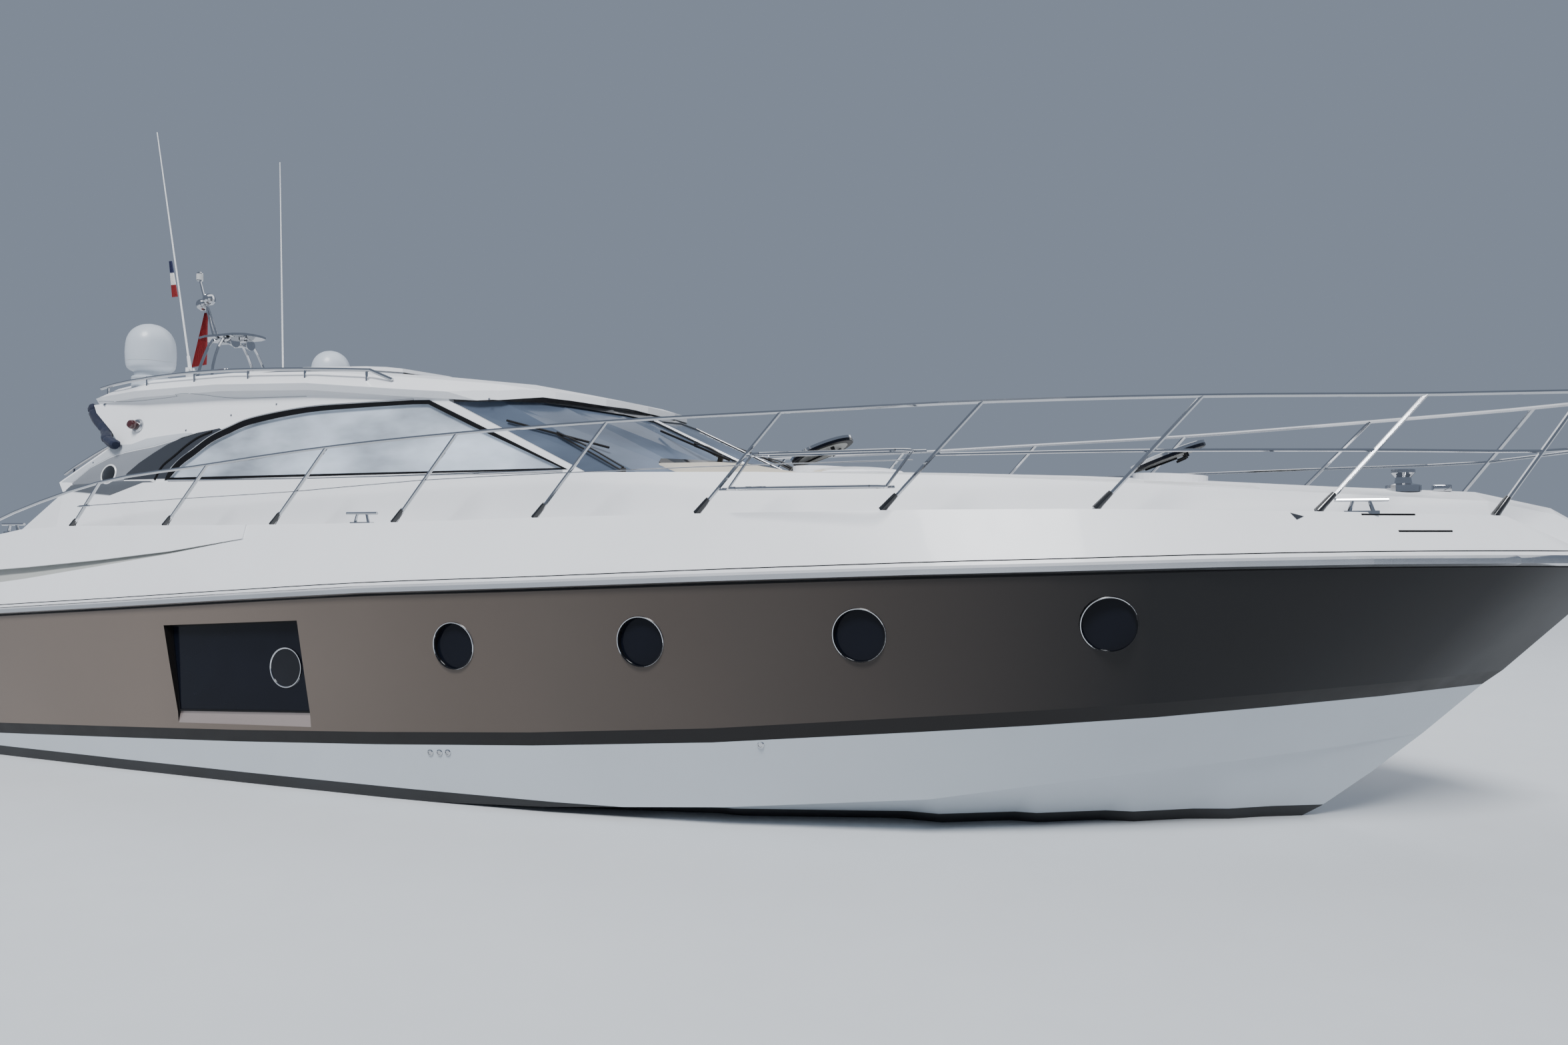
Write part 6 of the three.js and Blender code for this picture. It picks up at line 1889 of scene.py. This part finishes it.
@dataclass
class Cockpit:
    """Dressing of helm and galley.

    Attributes:
        fascia_foot: The console's sloping face at its foot, along the boat and upwards.
        fascia_head: The same at its head.
    """

    fascia_foot: Flat = (0.000, 2.050)
    fascia_head: Flat = (0.160, 2.330)

    def build(self) -> None:
        """Makes the instruments and the galley's fittings."""
        self.instruments()
        self.galley()
        LOG.info("cockpit ready")

    def on_fascia(self, along: float, y: float, out: float) -> Vector:
        """Places a point on the console's sloping face.

        Args:
            along: Share of the way up the face.
            y: Place across the boat.
            out: Distance off the face.

        Returns:
            The point.
        """
        foot, head = Vector(self.fascia_foot), Vector(self.fascia_head)
        spot = foot.lerp(head, along)
        rise = (head - foot).normalized()
        return Vector((spot.x - rise.y * out, y, spot.y + rise.x * out))

    def instruments(self) -> None:
        """Makes screens, dials and throttles on the console and the wheel's boss."""
        face = self.on_fascia(0.5, 0.0, 1.0) - self.on_fascia(0.5, 0.0, 0.0)
        for number, (y0, y1, low, high) in enumerate(((-0.480, -0.320, 0.15, 0.85),
                                                      (-0.985, -0.880, 0.15, 0.85)), start=1):
            outline = [self.on_fascia(a, y, -0.002) for a, y in ((low, y0), (low, y1), (high, y1),
                                                                 (high, y0))]
            plate(f"console_screen_{number}", outline, face * 0.014, SCREEN, 0.003)
        for number, y in enumerate((-0.790, -0.700, -0.610, -0.520), start=1):
            turned(f"dial_rim_{number}", [(0.030, -0.002), (0.037, -0.002), (0.037, 0.008), (0.033, 0.010),
                                          (0.030, 0.006)], self.on_fascia(0.86, y, 0.0), face, STEEL, 24)
            turned(f"dial_face_{number}", disc(0.031, -0.001, 0.003),
                   self.on_fascia(0.86, y, 0.0), face, BLACK, 24)
        binnacle = Vector((0.310, -0.395, 2.405))
        block("throttle_base", binnacle - Vector((0.06, 0.05, 0.03)), binnacle + Vector((0.06, 0.05, 0.035)),
              BLACK, 0.012)
        for number, y in enumerate((-0.430, -0.360), start=1):
            tube(f"throttle_lever_{number}", [(0.310, y, 2.420), (0.290, y, 2.500), (0.270, y, 2.560)], 0.009,
                 STEEL, 10)
            turned(f"throttle_knob_{number}", [(0.0, -0.026), (0.018, -0.020), (0.021, 0.0), (0.017, 0.020),
                                               (0.0, 0.026)], (0.266, y, 2.570), (-0.3, 0.0, 1.0), BLACK, 16)
        turned("wheel_boss", [(0.0, 0.0), (0.045, 0.0), (0.040, 0.010), (0.0, 0.014)],
               self.on_fascia(0.5, -0.650, 0.131), face, SATIN, 28, body="steering_wheel")

    @staticmethod
    def galley() -> None:
        """Makes worktop, hob, sink and door lines of the galley."""
        block("worktop", (-4.398, -1.362, 2.331), (-2.198, -0.822, 2.352), LIGHT_GREY, 0.006)
        block("hob", (-2.800, -1.300, 2.352), (-2.350, -0.920, 2.360), DARK_GLASS, 0.003)
        for number, (x, y) in enumerate(((-2.690, -1.200), (-2.460, -1.200), (-2.575, -1.020)), start=1):
            turned(f"hob_ring_{number}", [(0.062, 0.0), (0.070, 0.0), (0.070, 0.002), (0.062, 0.002)],
                   (x, y, 2.360), UP, SATIN, 32)
        turned("sink", [(0.0, 0.001), (0.165, 0.001), (0.172, 0.008), (0.190, 0.010), (0.190, 0.0),
                        (0.0, 0.0)], (-3.300, -1.100, 2.352), UP, STEEL, 40)
        tube("tap", [(-3.300, -1.320, 2.352), (-3.300, -1.320, 2.560), (-3.300, -1.270, 2.610),
                     (-3.300, -1.180, 2.600), (-3.300, -1.160, 2.560)], 0.011, STEEL, 10)
        for number in range(4):
            x = -4.380 + number * 0.548
            block(f"galley_door_{number + 1}", (x, -0.832, 1.500), (x + 0.530, -0.822, 2.290), PLASTIC, 0.004)
            tube(f"galley_handle_{number + 1}", [(x + 0.180, -0.822, 2.220), (x + 0.190, -0.800, 2.220),
                                                 (x + 0.350, -0.800, 2.220), (x + 0.360, -0.822, 2.220)],
                 0.006, STEEL, 8, steps=1)


@dataclass
class Stern:
    """Fittings of transom, garage lid and gate.

    Attributes:
        transom_x: The transom's face.
    """

    transom_x: float = -7.000

    def build(self) -> None:
        """Makes the pieces at the stern."""
        for name, side in SIDES:
            y = side * 1.560
            turned(f"exhaust_{name}", [(0.058, 0.0), (0.085, 0.0), (0.085, 0.008), (0.066, 0.016),
                                       (0.060, 0.004)], (self.transom_x, y, 0.360), (-1.0, 0.0, 0.0), STEEL,
                   32)
            turned(f"exhaust_mouth_{name}", disc(0.060, 0.0, 0.002),
                   (self.transom_x, y, 0.360), (-1.0, 0.0, 0.0), BLACK, 32)
        self.garage()
        self.gate()
        LOG.info("stern ready")

    def garage(self) -> None:
        """Makes the seal and handle of the garage lid."""
        outline = [(-1.100, 0.640), (0.700, 0.640), (0.700, 1.180), (-1.100, 1.180)]
        ring = [[(self.transom_x, y, z) for y, z in spread(outline, gap)] for gap in (0.012, 0.002)]
        band("garage_seal", *ring, Vector((-0.004, 0.0, 0.0)), RUBBER)
        tube("garage_handle", [(self.transom_x, -0.360, 0.740), (self.transom_x - 0.030, -0.350, 0.740),
                               (self.transom_x - 0.030, -0.050, 0.740), (self.transom_x, -0.040, 0.740)],
             0.010, STEEL, 10, steps=1, body="garage_lid")

    @staticmethod
    def gate() -> None:
        """Makes the latch and top rail of the stern gate."""
        tube("gate_rail", [(-6.102, 0.885, 2.092), (-6.102, 1.345, 2.092)], 0.014, STEEL, 10,
             body="stern_gate")
        block("gate_latch", (-6.130, 0.880, 1.760), (-6.120, 0.930, 1.810), SATIN, 0.003, body="stern_gate")


@dataclass
class Studio:
    """Floor, light and camera.

    Attributes:
        place: The camera's place in metres.
        turn: Its turn about Z in degrees, from looking along +Y.
        tilt: Its tilt above the horizon in degrees.
        focal_pixels: Focal length in pixels of the full frame.
        floor_size: Edge of the floor in metres.
        sky: Colour of the even light from all around.
        sun_from: Where the key light comes from.
        sun_power: Its strength.
        sun_angle: Its width in degrees.
        lights: Place, target, size and power of each soft light.
    """

    place: Point = (4.95, -8.72, 2.2)
    turn: float = 19.8
    tilt: float = 0.61
    focal_pixels: float = 1500.0
    floor_size: float = 160.0
    sky: Point = (0.22, 0.26, 0.33)
    sun_from: Point = (1.5, -7.5, 9.5)
    sun_power: float = 4.0
    sun_angle: float = 20.0
    lights: list[tuple[Point, Point, float, float]] = field(default_factory=lambda: [
        ((0.0, 2.0, 16.0), (0.0, 0.0, 0.0), 14.0, 900.0),
        ((4.0, 14.0, 12.0), (0.0, 0.0, 2.0), 10.0, 500.0),
    ])

    def build(self) -> None:
        """Makes the camera, the floor at the water's level and the lights."""
        camera = bpy.data.objects.new("camera", bpy.data.cameras.new("camera"))
        camera.data.sensor_width = 36.0
        camera.data.lens = self.focal_pixels / PHOTO_WIDTH * camera.data.sensor_width
        camera.data.clip_end = 500.0
        camera.location = self.place
        camera.rotation_euler = (math.radians(90.0 + self.tilt), 0.0, math.radians(self.turn))
        bpy.context.scene.collection.objects.link(camera)
        bpy.context.scene.camera = camera
        shape = bmesh.new()
        bmesh.ops.create_grid(shape, x_segments=1, y_segments=1, size=self.floor_size / 2.0)
        floor = piece_of("floor", shape, FLOOR)
        world = bpy.data.worlds.new("studio")
        bpy.context.scene.world = world
        world.use_nodes = True
        world.node_tree.nodes["Background"].inputs["Color"].default_value = (*self.sky, 1.0)
        world.node_tree.nodes["Background"].inputs["Strength"].default_value = 1.0
        sun = self.lamp("SUN", self.sun_from, (0.0, 0.0, 0.0), self.sun_power)
        sun.angle = math.radians(self.sun_angle)
        for place, target, size, power in self.lights:
            self.lamp("AREA", place, target, power).size = size
        LOG.info("studio ready")

    @staticmethod
    def lamp(kind: str, place: Point, target: Point, power: float) -> bpy.types.Light:
        """Makes a light that shines from a place to a target.

        Args:
            kind: Its type, SUN or AREA.
            place: Where it is.
            target: What it points at.
            power: Its strength.

        Returns:
            The light's data.
        """
        light = bpy.data.objects.new("light", bpy.data.lights.new("light", kind))
        light.data.energy = power
        light.location = place
        light.rotation_euler = (Vector(target) - Vector(place)).to_track_quat("-Z", "Y").to_euler()
        bpy.context.scene.collection.objects.link(light)
        return light.data


def main() -> None:
    """Builds the scene in order."""
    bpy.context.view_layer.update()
    Studio().build()
    paint_nodes()
    for part in (Fairing, HullFittings, CabinSides, Windscreen, RoofFittings, DeckFittings, Cockpit, Stern,
                 Canvas, Cushions):
        part().build()


if __name__ == "__main__":
    main()
